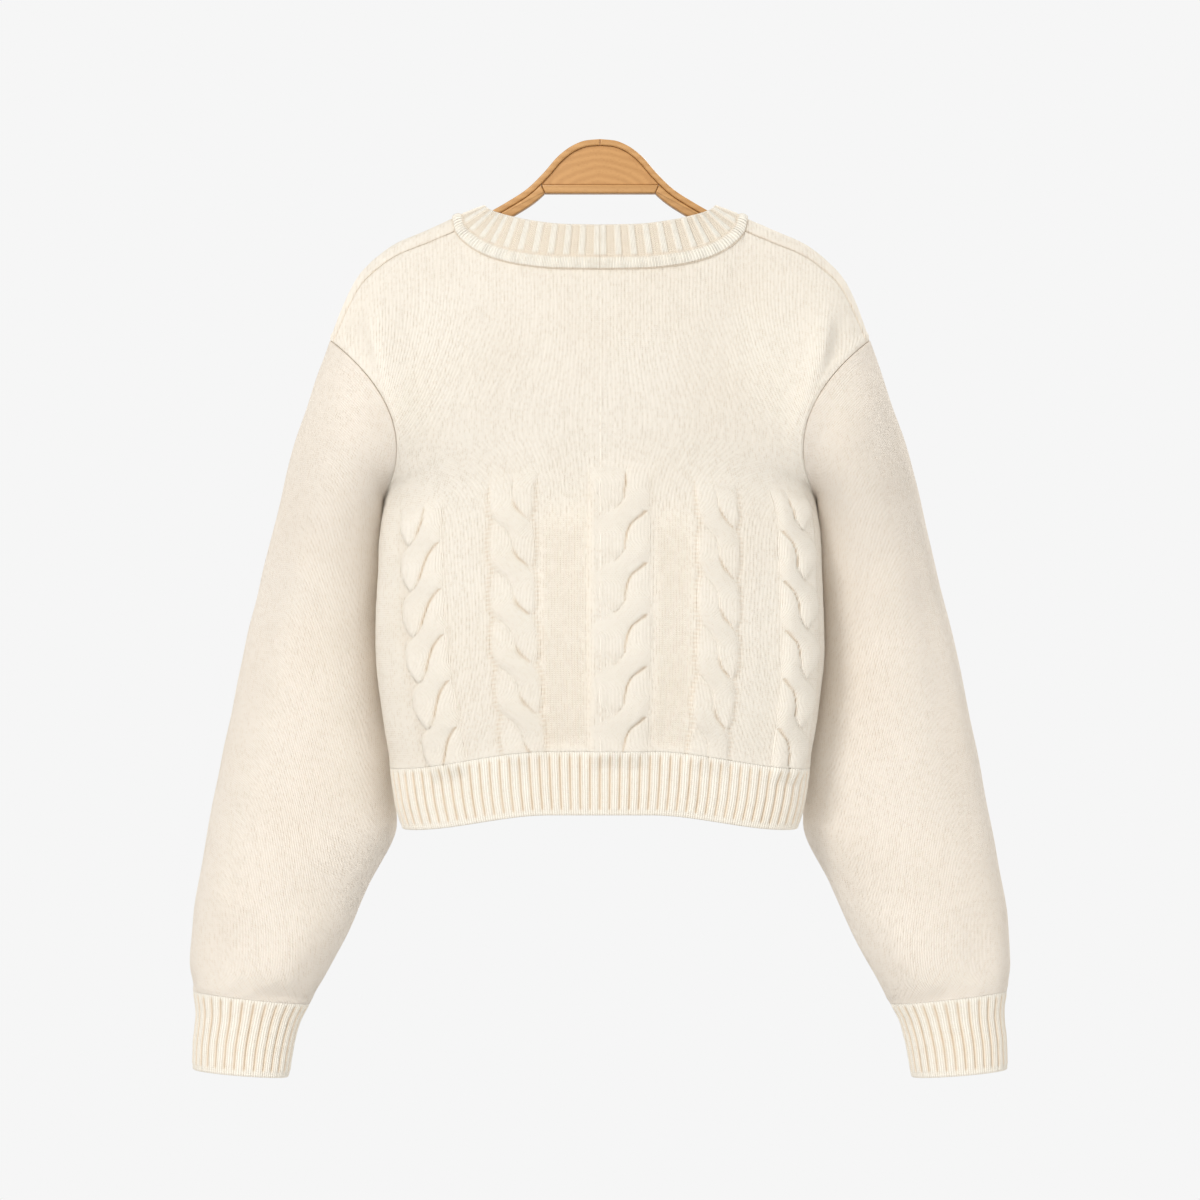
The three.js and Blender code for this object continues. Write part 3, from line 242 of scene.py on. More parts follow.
OPEN = Table("along left right height", [
    (0, -0.45, 0.75, 0.36),
    (0.25, -0.2, 0.95, 0.5),
    (0.5, -0.07, 1.0, 0.72),
    (0.75, -0.25, 0.92, 0.92),
    (1, -0.7, 0.7, 1.0),
    (1.25, -0.92, 0.25, 0.92),
    (1.5, -1.0, 0.07, 0.72),
    (1.75, -0.95, 0.2, 0.5),
    (2, -0.75, 0.45, 0.36),
], "along")
EDGE_STITCH = 1.6  # height of the stitches that edge the small cables
HOOK = 0.41  # a strand comes out this many pitches above the crossing it is named by


def cables(*rows):
    """Each row as a cable whose values can be read by name."""
    return [dict(zip(CABLE, row)) for row in rows]


BACK_CABLES = cables(
    (122.5, 8, 34, 4.8, 1, -265.8, 33.4, 0.4, 1.1, LOBED),
    (60, 3.6, 35, 3.0, -1, -255.7, 35, 0.5, 1.1, OPEN),
    (-14.6, 0, 46, 5.4, 1, -250.5, 36.85, 0.7, 1.2, TUCKED),
    (-83, -2, 32, 3.0, -1, -257.3, 36.2, 0.5, 1.1, OPEN),
    (-146, 1, 35, 4.8, -1, -252.9, 35.8, 0.45, 1.0, TUCKED),
)
FRONT_CABLES = cables(
    (58, 2, 42, 4.2, 1, -284, 35.4, 0.6, 1.1, TUCKED),
    (128, 5, 38, 4.0, -1, -298, 34.4, 0.45, 1.1, TUCKED),
)
HEM_RIBS_BACK, HEM_RIBS_FRONT, CUFF_RIBS = 48, 22, 30
BAND_RIBS = [10, 20, 21]  # to the shoulder seam, the V's bottom and the hem
BAND_SEAM_SHARE = 0.28  # the part of the band's width that its roll takes up
BODY_FOLDS = [  # x0 z0 x1 z1 width height
    (160, -118, 149, -236, 11, 7),
    (176, -135, 166, -180, 9, -4.5),
]
SLEEVE_FOLDS = [  # angle from to width height
    (92, 0.04, 0.3, 24, 4),
    (48, 0.16, 0.8, 20, -3.2),
    (116, 0.78, 0.97, 18, 3.5),
    (62, 0.8, 0.96, 18, -3),
    (-100, 0.06, 0.45, 26, 3.5),
    (-52, 0.25, 0.85, 20, -3),
    (-120, 0.76, 0.97, 18, 3),
]
HANGER_TOP = Table("along x z", [
    (0, 0, 0),
    (0.06, 10, -0.9),
    (0.12, 19.5, -4.4),
    (0.2, 30, -12),
    (0.3, 41.5, -25),
    (0.4, 53.8, -36.8),
    (0.5, 68, -46),
    (0.6, 84, -55),
    (0.74, 106, -66),
    (0.87, 129, -75.6),
    (1, 152, -88),
], "along")
HANGER_WIDTH, OUTER_STRIP, INNER_STRIP, CROSSBAR_TOP = 12, 4.4, 6.4, -33.2
BUTTON_HEIGHTS = [-256, -310.5, -365, -419.5, -474]
BUTTON_RADIUS, BUTTON_THICKNESS = 9, 3.2

# ---- sizes of the yarn --------------------
WALE = 2.0  # width of one stitch
COURSE = 1.5  # height of one stitch


# ---- the cloth's middle surfaces --------------------
def ring_shares():
    angles = np.linspace(0, PI / 2, 400)
    x = RING_WIDTH * np.sin(angles) ** (2 / RING_POWER)
    y = RING_DEPTH * np.abs(np.cos(angles)) ** (2 / RING_POWER)
    lengths = np.concatenate([[0], np.cumsum(np.hypot(np.diff(x), np.diff(y)))])
    return angles, lengths / lengths[-1]


RING_ANGLES, RING_SHARES = ring_shares()


def ring(share, z, side):
    """A point of the body below the underarm: side is 1 on the back and -1 on the front."""
    share, z = spread(share, z)
    angle = np.interp(np.abs(share), RING_SHARES, RING_ANGLES)
    half_width = BODY.read("halfWidth", z) + SIDE_EASE * bell((z + 268) / 22)
    x = half_width * np.maximum(0, np.sin(angle)) ** (2 / RING_POWER)
    y = BODY.read("halfDepth", z) * np.maximum(0, np.cos(angle)) ** (2 / RING_POWER)
    drop = BODY.read("sag", z) * smooth((x / half_width - 0.25) / 0.75)
    return vec(np.sign(share) * x, side * y, z - drop)


def band_share(x, z):
    return x / HALF_RING * (RING_WIDTH / BODY.read("halfWidth", z))


def with_folds(p, side, fade):
    x, z = np.abs(p[..., 0]), p[..., 2]
    height = 0
    for x0, z0, x1, z1, width, rise in BODY_FOLDS:
        dx, dz = x1 - x0, z1 - z0
        t = clamp(((x - x0) * dx + (z - z0) * dz) / (dx * dx + dz * dz))
        away = np.hypot(x - x0 - dx * t, z - z0 - dz * t) / width
        height = height + rise * bell(away) * np.minimum(1, 1.4 * np.sin(PI * t) + 0.15)
    height = height * fade
    out = np.sign(p[..., 0]) * FOLD_OUT * np.maximum(0, height)
    return p + vec(out, side * FOLD_BACK * height, 0)


def section(tube, share):
    return {name: tube.read(name, clamp(share)) for name in TUBE.split()}


def section_point(s, angle):
    c, sine = np.cos(angle), np.sin(angle)
    x = mix(s["innerX"], s["outerX"], (1 + c) / 2) - s["bow"] * sine**2
    return vec(x, s["midY"] + s["halfDepth"] * sine, mix(s["innerZ"], s["outerZ"], (1 + c) / 2))


def section_normal(s, angle):
    across = vec(s["outerX"] - s["innerX"], 0, s["outerZ"] - s["innerZ"])
    half = np.linalg.norm(across, axis=-1) / 2
    n = across * wide(np.cos(angle) / half / half / 2)
    return unit(n + vec(0, np.sin(angle) / s["halfDepth"], 0))


def tube_point(tube, hand, angle, share, folds=()):
    angle, share = spread(angle, share)
    s = section(tube, share)
    height = np.zeros(angle.shape)
    for centre, start, end, width, rise in folds:
        away = np.mod(np.degrees(angle) - centre + 180, 360) - 180
        within = clamp((share - start) / (end - start))
        height += rise * bell(away / width) * np.sin(PI * within)
    p = section_point(s, angle) + section_normal(s, angle) * wide(height)
    return p * [hand, 1, 1]


def shoulder(along, turn):
    along, turn = spread(along, turn)

    def at(t):
        return vec(SHOULDER.read("x", t), 0, SHOULDER.read("z", t))

    tangent = unit(at(clamp(along + 0.01)) - at(clamp(along - 0.01)))
    out = vec(-tangent[..., 2], 0, tangent[..., 0])
    p = at(along) - out * wide(SHOULDER_ROUND * (1 - np.cos(turn)))
    return p + vec(0, SHOULDER_ROUND * np.sin(turn), 0)


def overlap_lift(p):
    """How far the upper front is lifted over the lower one, from just above where they meet."""
    return PLACKET_LIFT * smooth((-p[..., 2] - 150) / 55)


def band_point(hand, along, share):
    """The band: share runs from its sewn edge (0) to its free edge (1)."""
    along, share = spread(along, share)
    down = along - AT_V_BOTTOM
    z = UNDERARM - np.maximum(0, down)
    low = ring(band_share(mix(PLACKET_HALF, -PLACKET_HALF, share), z), z, -1)
    edges = {e: vec(*[BAND.read(e + a, along) for a in "XYZ"]) for e in ("sewn", "free")}
    p = np.where(wide(down >= 0), low, mix(edges["sewn"], edges["free"], wide(share)))
    p = p * [hand, 1, 1]
    if hand < 0:
        p[..., 1] -= overlap_lift(p) * (p[..., 1] < 0)
    return p


def back_top(share):
    part = np.minimum(1, np.abs(share))
    neck = band_point(1, np.minimum(1, part / NECK_SHARE) * AT_SHOULDER_SEAM, 0)
    along = clamp((part - NECK_SHARE) / (1 - NECK_SHARE))
    p = shoulder(along, SEAM_TURN)
    to_neck = band_point(1, AT_SHOULDER_SEAM, 0) - shoulder(0, SEAM_TURN)
    to_tip = section_point(section(SLEEVE, 0), SEAM_ANGLE) - shoulder(1, SEAM_TURN)
    p = p + to_neck * wide(1 - along) + to_tip * wide(along**2)
    p = np.where(wide(part <= NECK_SHARE), neck, p)
    return p * vec(np.where(share < 0, -1, 1), 1, 1)


def soft_top(share, rise):
    reach = TOP_SOFTNESS * np.minimum(1, 1.6 * (1 - rise))
    weights = enumerate([1, 2, 3, 2, 1])
    return sum(back_top(share + (i - 2) * reach) * (weight / 9) for i, weight in weights)


def cut_in(rise):
    return 1 - ARMHOLE_CUT * (1 - np.exp(-rise / ARMHOLE_CUT_RISE))


def rising(bottom, top, rise):
    ease = wide(rise**1.35)
    p = mix(bottom, top, ease)
    p[..., 2] = mix(bottom[..., 2], top[..., 2], rise)
    return p


def back_arm_angle(rise):
    return PI - (PI - SEAM_ANGLE) * rise


def back_point(share, level):
    """The back: level is 0 at the hem's top, 1 at the underarm and 2 at the top edge."""
    share, level = spread(share, level)
    low = ring(share, mix(HEM_TOP, UNDERARM, clamp(level)), 1)
    rise = clamp(level - 1)
    part, hand = np.minimum(1, np.abs(share)), np.where(share < 0, -1.0, 1.0)
    arc = (1 - np.cos(PI * rise)) / 2

    def column(s, lift):
        return rising(ring(s * cut_in(rise), UNDERARM, 1), soft_top(s, rise), lift)

    p = column(hand * part, mix(rise, arc, part**2))
    pull = section_point(section(SLEEVE, 0), back_arm_angle(rise)) - column(1 + 0 * part, arc)
    p = p + pull * vec(hand, 1, 1) * wide(part**3)
    p = np.where(wide(level > 1), p, low)
    return with_folds(p, 1, smooth((1 - part) / 0.1))


FRONT_TURN_LEVEL = 1.8
FRONT_TURN_ANGLE = np.arcsin(SHOULDER_ROUND * np.sin(FRONT_TURN) / ARMHOLE_DEPTH)


def piecewise(level, start, middle, end):
    low = mix(start, middle, (level - 1) / (FRONT_TURN_LEVEL - 1))
    high = mix(middle, end, (level - FRONT_TURN_LEVEL) / (2 - FRONT_TURN_LEVEL))
    return np.where(level < FRONT_TURN_LEVEL, low, high)


def front_arm_angle(level):
    return piecewise(level, -PI, FRONT_TURN_ANGLE, SEAM_ANGLE)


def front_band_along(level):
    return piecewise(level, AT_V_BOTTOM, AT_FRONT_TURN, AT_SHOULDER_SEAM)


def front_lower(hand, share, z):
    p = ring(hand * mix(band_share(PLACKET_HALF, z), 1, share), z, -1)
    if hand < 0:
        p[..., 1] -= PLACKET_LIFT * (1 - smooth(share / LIFT_REACH))
    return p


def front_point(hand, share, level):
    """A front: share is 0 at the band and 1 at the side seam or armhole."""
    share, level = spread(share, level)
    low = front_lower(hand, share, mix(HEM_TOP, UNDERARM, clamp(level)))
    up = np.clip(level, 1, 2)
    turn = clamp((up - FRONT_TURN_LEVEL) / (2 - FRONT_TURN_LEVEL))
    rise = clamp((up - 1) / (FRONT_TURN_LEVEL - 1))
    arc = (1 - np.cos(PI * rise)) / 2

    def column(s):
        foot = ring(mix(band_share(PLACKET_HALF, UNDERARM), cut_in(rise), s), UNDERARM, -1)
        below = rising(foot, shoulder(s, FRONT_TURN), mix(rise, arc, s))
        above = shoulder(s, mix(FRONT_TURN, SEAM_TURN, turn))
        return np.where(wide(up >= FRONT_TURN_LEVEL), above, below)

    p = column(share)
    at_band = band_point(1, front_band_along(up), 0) - column(0 * share)
    at_arm = section_point(section(SLEEVE, 0), front_arm_angle(up)) - column(1 + 0 * share)
    p = (p + at_band * wide(1 - share) + at_arm * wide(share**2)) * [hand, 1, 1]
    if hand < 0:
        p[..., 1] -= overlap_lift(p) * (1 - smooth(share / LIFT_REACH))
    p = np.where(wide(level > 1), p, low)
    return with_folds(p, -1, smooth((1 - share) / 0.1) * smooth(share / 0.1))


# ---- relief --------------------
FREE_END = 0.45  # the first two strands come straight down to here, by their own pitches
OPENING, NARROWING = 0.22, 0.1  # how they part and thin upwards from there


def pitches_down(c, z):
    """How many pitches a height lies below the place where strand 0 comes out."""
    return (c["first"] - z) / c["pitch"] + HOOK


def strand_edges(c, number, z):
    """Edges and height of one strand of a cable: number 0 is the first that crosses over."""
    path, along = c["path"], pitches_down(c, z) - number
    left, right, height = (path.read(name, along) for name in ("left", "right", "height"))
    shown = (along > path.key[0]) & (along < path.key[-1])
    if number < 1:
        way = 1 if number == 0 else -1
        above = np.maximum(0, FREE_END - number - along)
        free = above > 0
        start = [path.read(name, FREE_END - number) for name in ("left", "right", "height")]
        spread, narrow = OPENING * way * above, NARROWING * way * above
        left = np.where(free, start[0] + spread + np.maximum(0, narrow), left)
        right = np.where(free, start[1] + spread + np.minimum(0, narrow), right)
        height = np.where(free, start[2], height)
        shown = shown | free
    return left, right, np.where(shown, height, 0)


def cable_middle(c, z):
    """Cloth distance from the centre line to the middle of a cable."""
    return c["at"] + c["drift"] * (z - CABLE_MIDDLE) / 100


NARROWER = 1.05  # how much narrower the strands are than their cable's stated width
STRAND_POWER = 2.6  # how full a strand's section is: 2 would be an ellipse
CREASE_WIDTH = 0.24  # two strands crease where their heights differ by less than this
EDGE_WIDTH = 1.8  # how far a cable's outer edge is felt, in millimetres
SWING = 0.42  # how far a strand's middle swings to each side, as a share of the cable's width


def cable_field(cables, cloth, z):
    """Height of the rope cables, the painted shade in their creases and along their edges, and the
    strand on top there: 100 times its cable's place in the list, plus 1 and its number in that
    cable, or -1 off them. Last comes a painted highlight on top of the strands, less under painted
    shade."""
    height, painted_shade, painted_highlight = (np.zeros(cloth.shape) for _ in range(3))
    top_strand = np.full(cloth.shape, -1)
    for place, c in enumerate(cables):
        small, lobed = c["path"] is OPEN, c["path"] is LOBED
        x = -c["lean"] * (cloth - cable_middle(c, z)) / (c["width"] / 2)
        down = pitches_down(c, z)
        phase = np.mod(down, 1)
        fade = smooth((c["first"] + c["pitch"] / 10 + 14 - z) / CABLE_FADE)

        # the strands, of which the highest shows
        best, second, which = (np.zeros(cloth.shape) for _ in range(3))
        for number in range(-1, int((c["first"] - HEM_TOP) / c["pitch"] + 2)):
            left, right, rise = strand_edges(c, number, z)
            d = (2 * NARROWER * x - left - right) / np.maximum(right - left, 0.01)
            rope = rise * np.sqrt(np.maximum(0, 1 - np.abs(d) ** STRAND_POWER))
            second = np.maximum(second, np.minimum(rope, best))
            which = np.where(rope > best, number, which)
            best = np.maximum(best, rope)
        if not small:
            best, second = (top * smooth((1.25 - x) / 0.7) for top in (best, second))

        # the mound that they lie on, notched where the small cables cross
        notch = bell(np.minimum(phase, 1 - phase) / 0.13) * (0.16 if small else 0)
        filled = c["rim"] * mix(1.2, 0.75, smooth((x + 0.6) / 1.2))
        mound = filled * smooth((1.1 - notch - np.abs(x)) / 0.34)
        if not small:
            mound = np.where(x > 0, filled * smooth((1.5 - x) / 1.0), mound)
        if lobed:
            mound = mound * smooth((x + 0.7) / 0.3)

        # creases between strands, and the shade in them
        crease = bell((best - second) / CREASE_WIDTH) * clamp(second / 0.3)
        if small:
            shade = crease * smooth((0.1 - x) / 0.3) * smooth((phase - 0.5) / 0.2)
        else:
            left_arm = 0.4 * smooth((0.1 - x) / 0.3) * (down - which > 1.4)
            left_arm = left_arm * smooth((phase - 0.7) / 0.12) * (best > 0.1)
            crease = np.maximum(crease, left_arm * bell((best - mound) / 0.1))
            arms = smooth((phase - 0.68) / 0.1) * smooth((1.02 - phase) / 0.04)
            shade = crease * (1 - 0.7 * arms) * (0.75 + 0.25 * smooth((phase - 0.1) / 0.2))

        # the cable's outer edges: painted shade along them, dotted like stitches on the small
        # cables and faint on the others
        outside = bell(np.maximum(0, np.abs(x) - 1 + notch) * c["width"] / 2 / EDGE_WIDTH)
        edge = outside * bell(np.maximum(best, mound) / 0.3)
        stitches = 0.5 + 0.5 * np.cos(2 * PI * z / (2 * EDGE_STITCH))
        edge_shade = edge * (0.6 * stitches if small else 0.08)

        ease = 0.1 * bell((best - mound) / 0.25) * (best > 0)
        lift = (np.maximum(best, mound) + ease) * c["height"] - c["depth"] * crease
        height += fade * (lift - edge * np.where(small | (x < 0), 0.5, 0.1))
        # painted shade in the creases and along the edges, and a painted highlight on top of the
        # strands
        dark = np.maximum(0.85 * shade, edge_shade)
        painted_shade = np.maximum(painted_shade, fade * dark * (0.8 if small else 1.0))
        painted_highlight = np.maximum(painted_highlight, fade * smooth(best / 0.4) * (0.7 if small else 1.0))
        on = (best > 0.12) & (fade > 0.3)
        top_strand = np.where(on, 100 * place + 1 + which, top_strand)
    return height, painted_shade, top_strand.astype(int), painted_highlight * (1 - painted_shade)


def strand_middle(cables, top_strand, cloth, z):
    """Cloth distance of the middle of a named strand at height z, or 0 off the cables."""
    middle = np.zeros(cloth.shape)
    for code in np.unique(top_strand[top_strand != -1]):
        c, number = cables[code // 100], code % 100 - 1
        swing = SWING * np.cos(PI * clamp(pitches_down(c, z) - number - 0.5))
        place = cable_middle(c, z) - c["lean"] * swing * c["width"] / 2
        middle = np.where(top_strand == code, place, middle)
    return middle


def waves(p, size, seed):
    """Gentle unevenness from -1 to 1 over a surface, in waves about `size` millimetres long."""
    rng = np.random.default_rng(seed)
    total = 0
    for _ in range(9):
        direction = rng.normal(size=3)
        direction /= np.linalg.norm(direction)
        length = size * rng.uniform(0.7, 1.6)
        total = total + np.sin(p @ direction * 2 * PI / length + rng.uniform(0, 2 * PI))
    return total / 4


# ---- making closed walls --------------------
def stations(length, step, fine_start=True, fine_end=True):
    """Places from 0 to 1 along an edge of this length, closer together by its rounded ends."""
    near = np.array([0, 0.3, 0.8, 1.5, 2.4])
    start = near if fine_start else np.array([0.0])
    end = length - near[::-1] if fine_end else np.array([length])
    count = max(2, int(round((end[0] - start[-1]) / step)))
    middle = np.linspace(start[-1], end[0], count + 1)[1:-1]
    return np.concatenate([start, middle, end]) / length


def grid_normals(p, sign, closed=False):
    if closed:
        across = np.roll(p, -1, axis=1) - np.roll(p, 1, axis=1)
    else:
        across = np.gradient(p, axis=1)
    return unit(np.cross(across, np.gradient(p, axis=0))) * sign


def distances(p, axis):
    """How far each point lies from both ends of its row (axis 1) or column (axis 0)."""
    steps = np.linalg.norm(np.diff(p, axis=axis), axis=-1)
    zero = np.zeros_like(np.take(steps, [0], axis=axis))
    run = np.concatenate([zero, np.cumsum(steps, axis=axis)], axis=axis)
    return run, np.take(run, [-1], axis=axis) - run


SEAM_RADIUS = 1.5  # how far from a seam the cloth is rounded off
THIN_EDGE = 0.55  # half the cloth's thickness on a seam


def rounded(distance):
    """From 0 on a seam to 1 where the cloth has its full thickness."""
    return np.sqrt(np.maximum(0, 1 - (1 - clamp(distance / SEAM_RADIUS)) ** 2))


def zip_rows(a, b, points):
    """Triangles that join two chains of point numbers, by how far along each point lies."""

    def along(ids):
        steps = np.linalg.norm(np.diff(points[ids], axis=0), axis=1)
        run = np.concatenate([[0], np.cumsum(steps)])
        return run / max(run[-1], 1e-9)

    at_a, at_b = along(a), along(b)
    faces, i, j = [], 0, 0
    while i < len(a) - 1 or j < len(b) - 1:
        forward = j == len(b) - 1 or (i < len(a) - 1 and at_a[i + 1] <= at_b[j + 1])
        if forward:
            faces.append((a[i], a[i + 1], b[j]))
            i += 1
        else:
            faces.append((a[i], b[j + 1], b[j]))
            j += 1
    return faces


def corners(grid):
    """The values at each square's four corners, in the order that its face is built in."""
    return [grid[:-1, :-1], grid[:-1, 1:], grid[1:, 1:], grid[1:, :-1]]


def wall(name, outer, inner, uv, inner_uv, material, closed=False, purl=0, painted_shade=0, painted_highlight=0):
    """One closed mesh from an outer and an inner grid of points. `uv` counts stitches across and
    up, and has one more column than the points on a closed tube. Where `uv` has four dimensions it
    gives each square's four corners. The last three values are the material's: its purl side,
    its painted shade and its painted highlight."""
    points = np.concatenate([outer.reshape(-1, 3), inner.reshape(-1, 3)])
    quads, places, rows = [], [], []
    rim_uv = np.zeros((len(points), 2))
    for grid, place, first, flip in ((outer, uv, 0, 1), (inner, inner_uv, outer.size // 3, -1)):
        ids = np.arange(first, first + grid.size // 3).reshape(grid.shape[:2])
        if closed:
            ids = np.concatenate([ids, ids[:, :1]], axis=1)
        at = place if place.ndim == 4 else np.stack(corners(place), 2)
        rows.append(ids)
        quads.append(np.stack(corners(ids), 2).reshape(-1, 4)[:, ::flip])
        places.append(at.reshape(-1, 4, 2)[:, ::flip])
        rim_uv[ids[:-1, :-1]] = at[:, :, 0]
        rim_uv[ids[-1, :-1]] = at[-1, :, 3]
        rim_uv[ids[:-1, -1]] = at[:, -1, 1]
        rim_uv[ids[-1, -1]] = at[-1, -1, 2]
    o, i = rows
    rim = zip_rows(i[0], o[0], points) + zip_rows(o[-1], i[-1], points)
    if not closed:
        rim += zip_rows(o[:, 0], i[:, 0], points) + zip_rows(i[:, -1], o[:, -1], points)
    quads, places, rim = np.concatenate(quads), np.concatenate(places), np.array(rim)
    a, b, c, d = (points[quads[:, k]] for k in range(4))
    if (a * np.cross(b, c)).sum() + (a * np.cross(c, d)).sum() < 0:  # it would be inside out
        quads, places, rim = quads[:, ::-1], places[:, ::-1], rim[:, ::-1]
    mesh = bpy.data.meshes.new(name)
    mesh.from_pydata((points * MM).tolist(), [], quads.tolist() + rim.tolist())
    loops = np.concatenate([places.reshape(-1, 2), rim_uv[rim].reshape(-1, 2)])
    layer = mesh.uv_layers.new(name="stitches")
    layer.data.foreach_set("uv", loops.astype(np.float32).ravel())
    # the inner side shows purl stitches and a little painted shade all over
    for key, outside, inside in (("purl", purl, 1), ("painted_shade", painted_shade, 0.25), ("painted_highlight", painted_highlight, 0)):
        values = np.full(len(points), inside, np.float32)
        values[: outer.size // 3] = np.broadcast_to(outside, outer.shape[:2]).ravel()
        mesh.attributes.new(key, "FLOAT", "POINT").data.foreach_set("value", values)
    # the rims stay flat, so that pieces sewn together meet without a line in their shading
    mesh.polygons.foreach_set("use_smooth", [True] * len(quads) + [False] * len(rim))
    mesh.validate()
    return placed(name, mesh, material)


def placed(name, data, material=None):
    """A new object in the scene."""
    item = bpy.data.objects.new(name, data)
    bpy.context.collection.objects.link(item)
    if material:
        data.materials.append(material)
    return item


def knitted(piece, node, slot, flat, **area):
    """Parents a piece of cloth to the root and hides the solid that it replaces. `flat`, its size
    in metres when laid out, is not used.
    """
    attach(piece, "root")
    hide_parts(node)


def stitch_grid(u, v):
    """Distances across and up the cloth, counted in stitches."""
    return np.stack(np.broadcast_arrays(u / WALE, v / COURSE), -1).astype(float)


def coarse(count_rows, count_columns, rows, columns):
    """Stations for the plain inner side: some of the outer side's own."""
    return [
        values[np.unique(np.linspace(0, len(values) - 1, count).round().astype(int))]
        for values, count in ((rows, count_rows), (columns, count_columns))
    ]


# ---- materials --------------------
class Nodes:
    """A short way to write a material's node tree. In `add`, a name such as i2 is a socket's
    number, and an underscore stands for a space."""

    def __init__(self, name):
        self.material = bpy.data.materials.new(name)
        self.material.use_nodes = True
        self.tree = self.material.node_tree
        self.shader = self.tree.nodes["Principled BSDF"]

    def add(self, kind, settings=None, **inputs):
        node = self.tree.nodes.new("ShaderNode" + kind)
        for key, value in (settings or {}).items():
            setattr(node, key, value)
        for key, value in inputs.items():
            name = int(key[1:]) if key[1:].isdigit() else key.replace("_", " ")
            self.set(node.inputs[name], value)
        return node

    def set(self, socket, value):
        if isinstance(value, bpy.types.NodeSocket):
            self.tree.links.new(value, socket)
        else:
            socket.default_value = value

    def math(self, operation, *values, clamp_it=False):
        node = self.tree.nodes.new("ShaderNodeMath")
        node.operation, node.use_clamp = operation, clamp_it
        for socket, value in zip(node.inputs, values):
            self.set(socket, value)
        return node.outputs[0]

    def plus(self, a, b):
        return self.math("ADD", a, b)

    def minus(self, a, b):
        return self.math("SUBTRACT", a, b)

    def times(self, a, b, clamp_it=False):
        return self.math("MULTIPLY", a, b, clamp_it=clamp_it)

    def line(self, a, slope, start):
        return self.math("MULTIPLY_ADD", a, slope, start)

    def noise(self, place, scale, detail, **more):
        node = self.add("TexNoise", None, Vector=place, Scale=scale, Detail=detail, **more)
        return node.outputs[0]

    def mix_value(self, factor, a, b):
        return self.add("Mix", None, i0=factor, i2=a, i3=b).outputs[0]

    def blend(self, factor, a, b):
        return self.add("Mix", {"data_type": "RGBA"}, i0=factor, i6=a, i7=b).outputs[2]

    def finished(self, colour=None, height=None, strength=0, depth=0, **values):
        """The material, with its colour, its bumps and the shader's own values set."""
        if colour:
            self.set(self.shader.inputs["Base Color"], colour)
        if height:
            bump = self.add("Bump", None, Strength=strength, Distance=depth, Height=height)
            self.set(self.shader.inputs["Normal"], bump.outputs[0])
        for key, value in values.items():
            self.shader.inputs[key.replace("_", " ")].default_value = value
        return self.material

    def ramp(self, value, *stops):
        node = self.tree.nodes.new("ShaderNodeValToRGB")
        elements = node.color_ramp.elements
        while len(elements) < len(stops):
            elements.new(0.5)
        for element, (place, colour) in zip(elements, stops):
            element.position, element.color = place, colour
        self.set(node.inputs[0], value)
        return node.outputs[0]


def linear(red, green, blue):
    """A colour given as it looks on screen, 0 to 255."""
    parts = np.array([red, green, blue]) / 255
    parts = np.where(parts <= 0.04045, parts / 12.92, ((parts + 0.055) / 1.055) ** 2.4)
    return (*parts.tolist(), 1.0)


SHADE_COLOUR = linear(214, 184, 146)  # warm colour of the painted shade in creases, grooves and open stitch holes
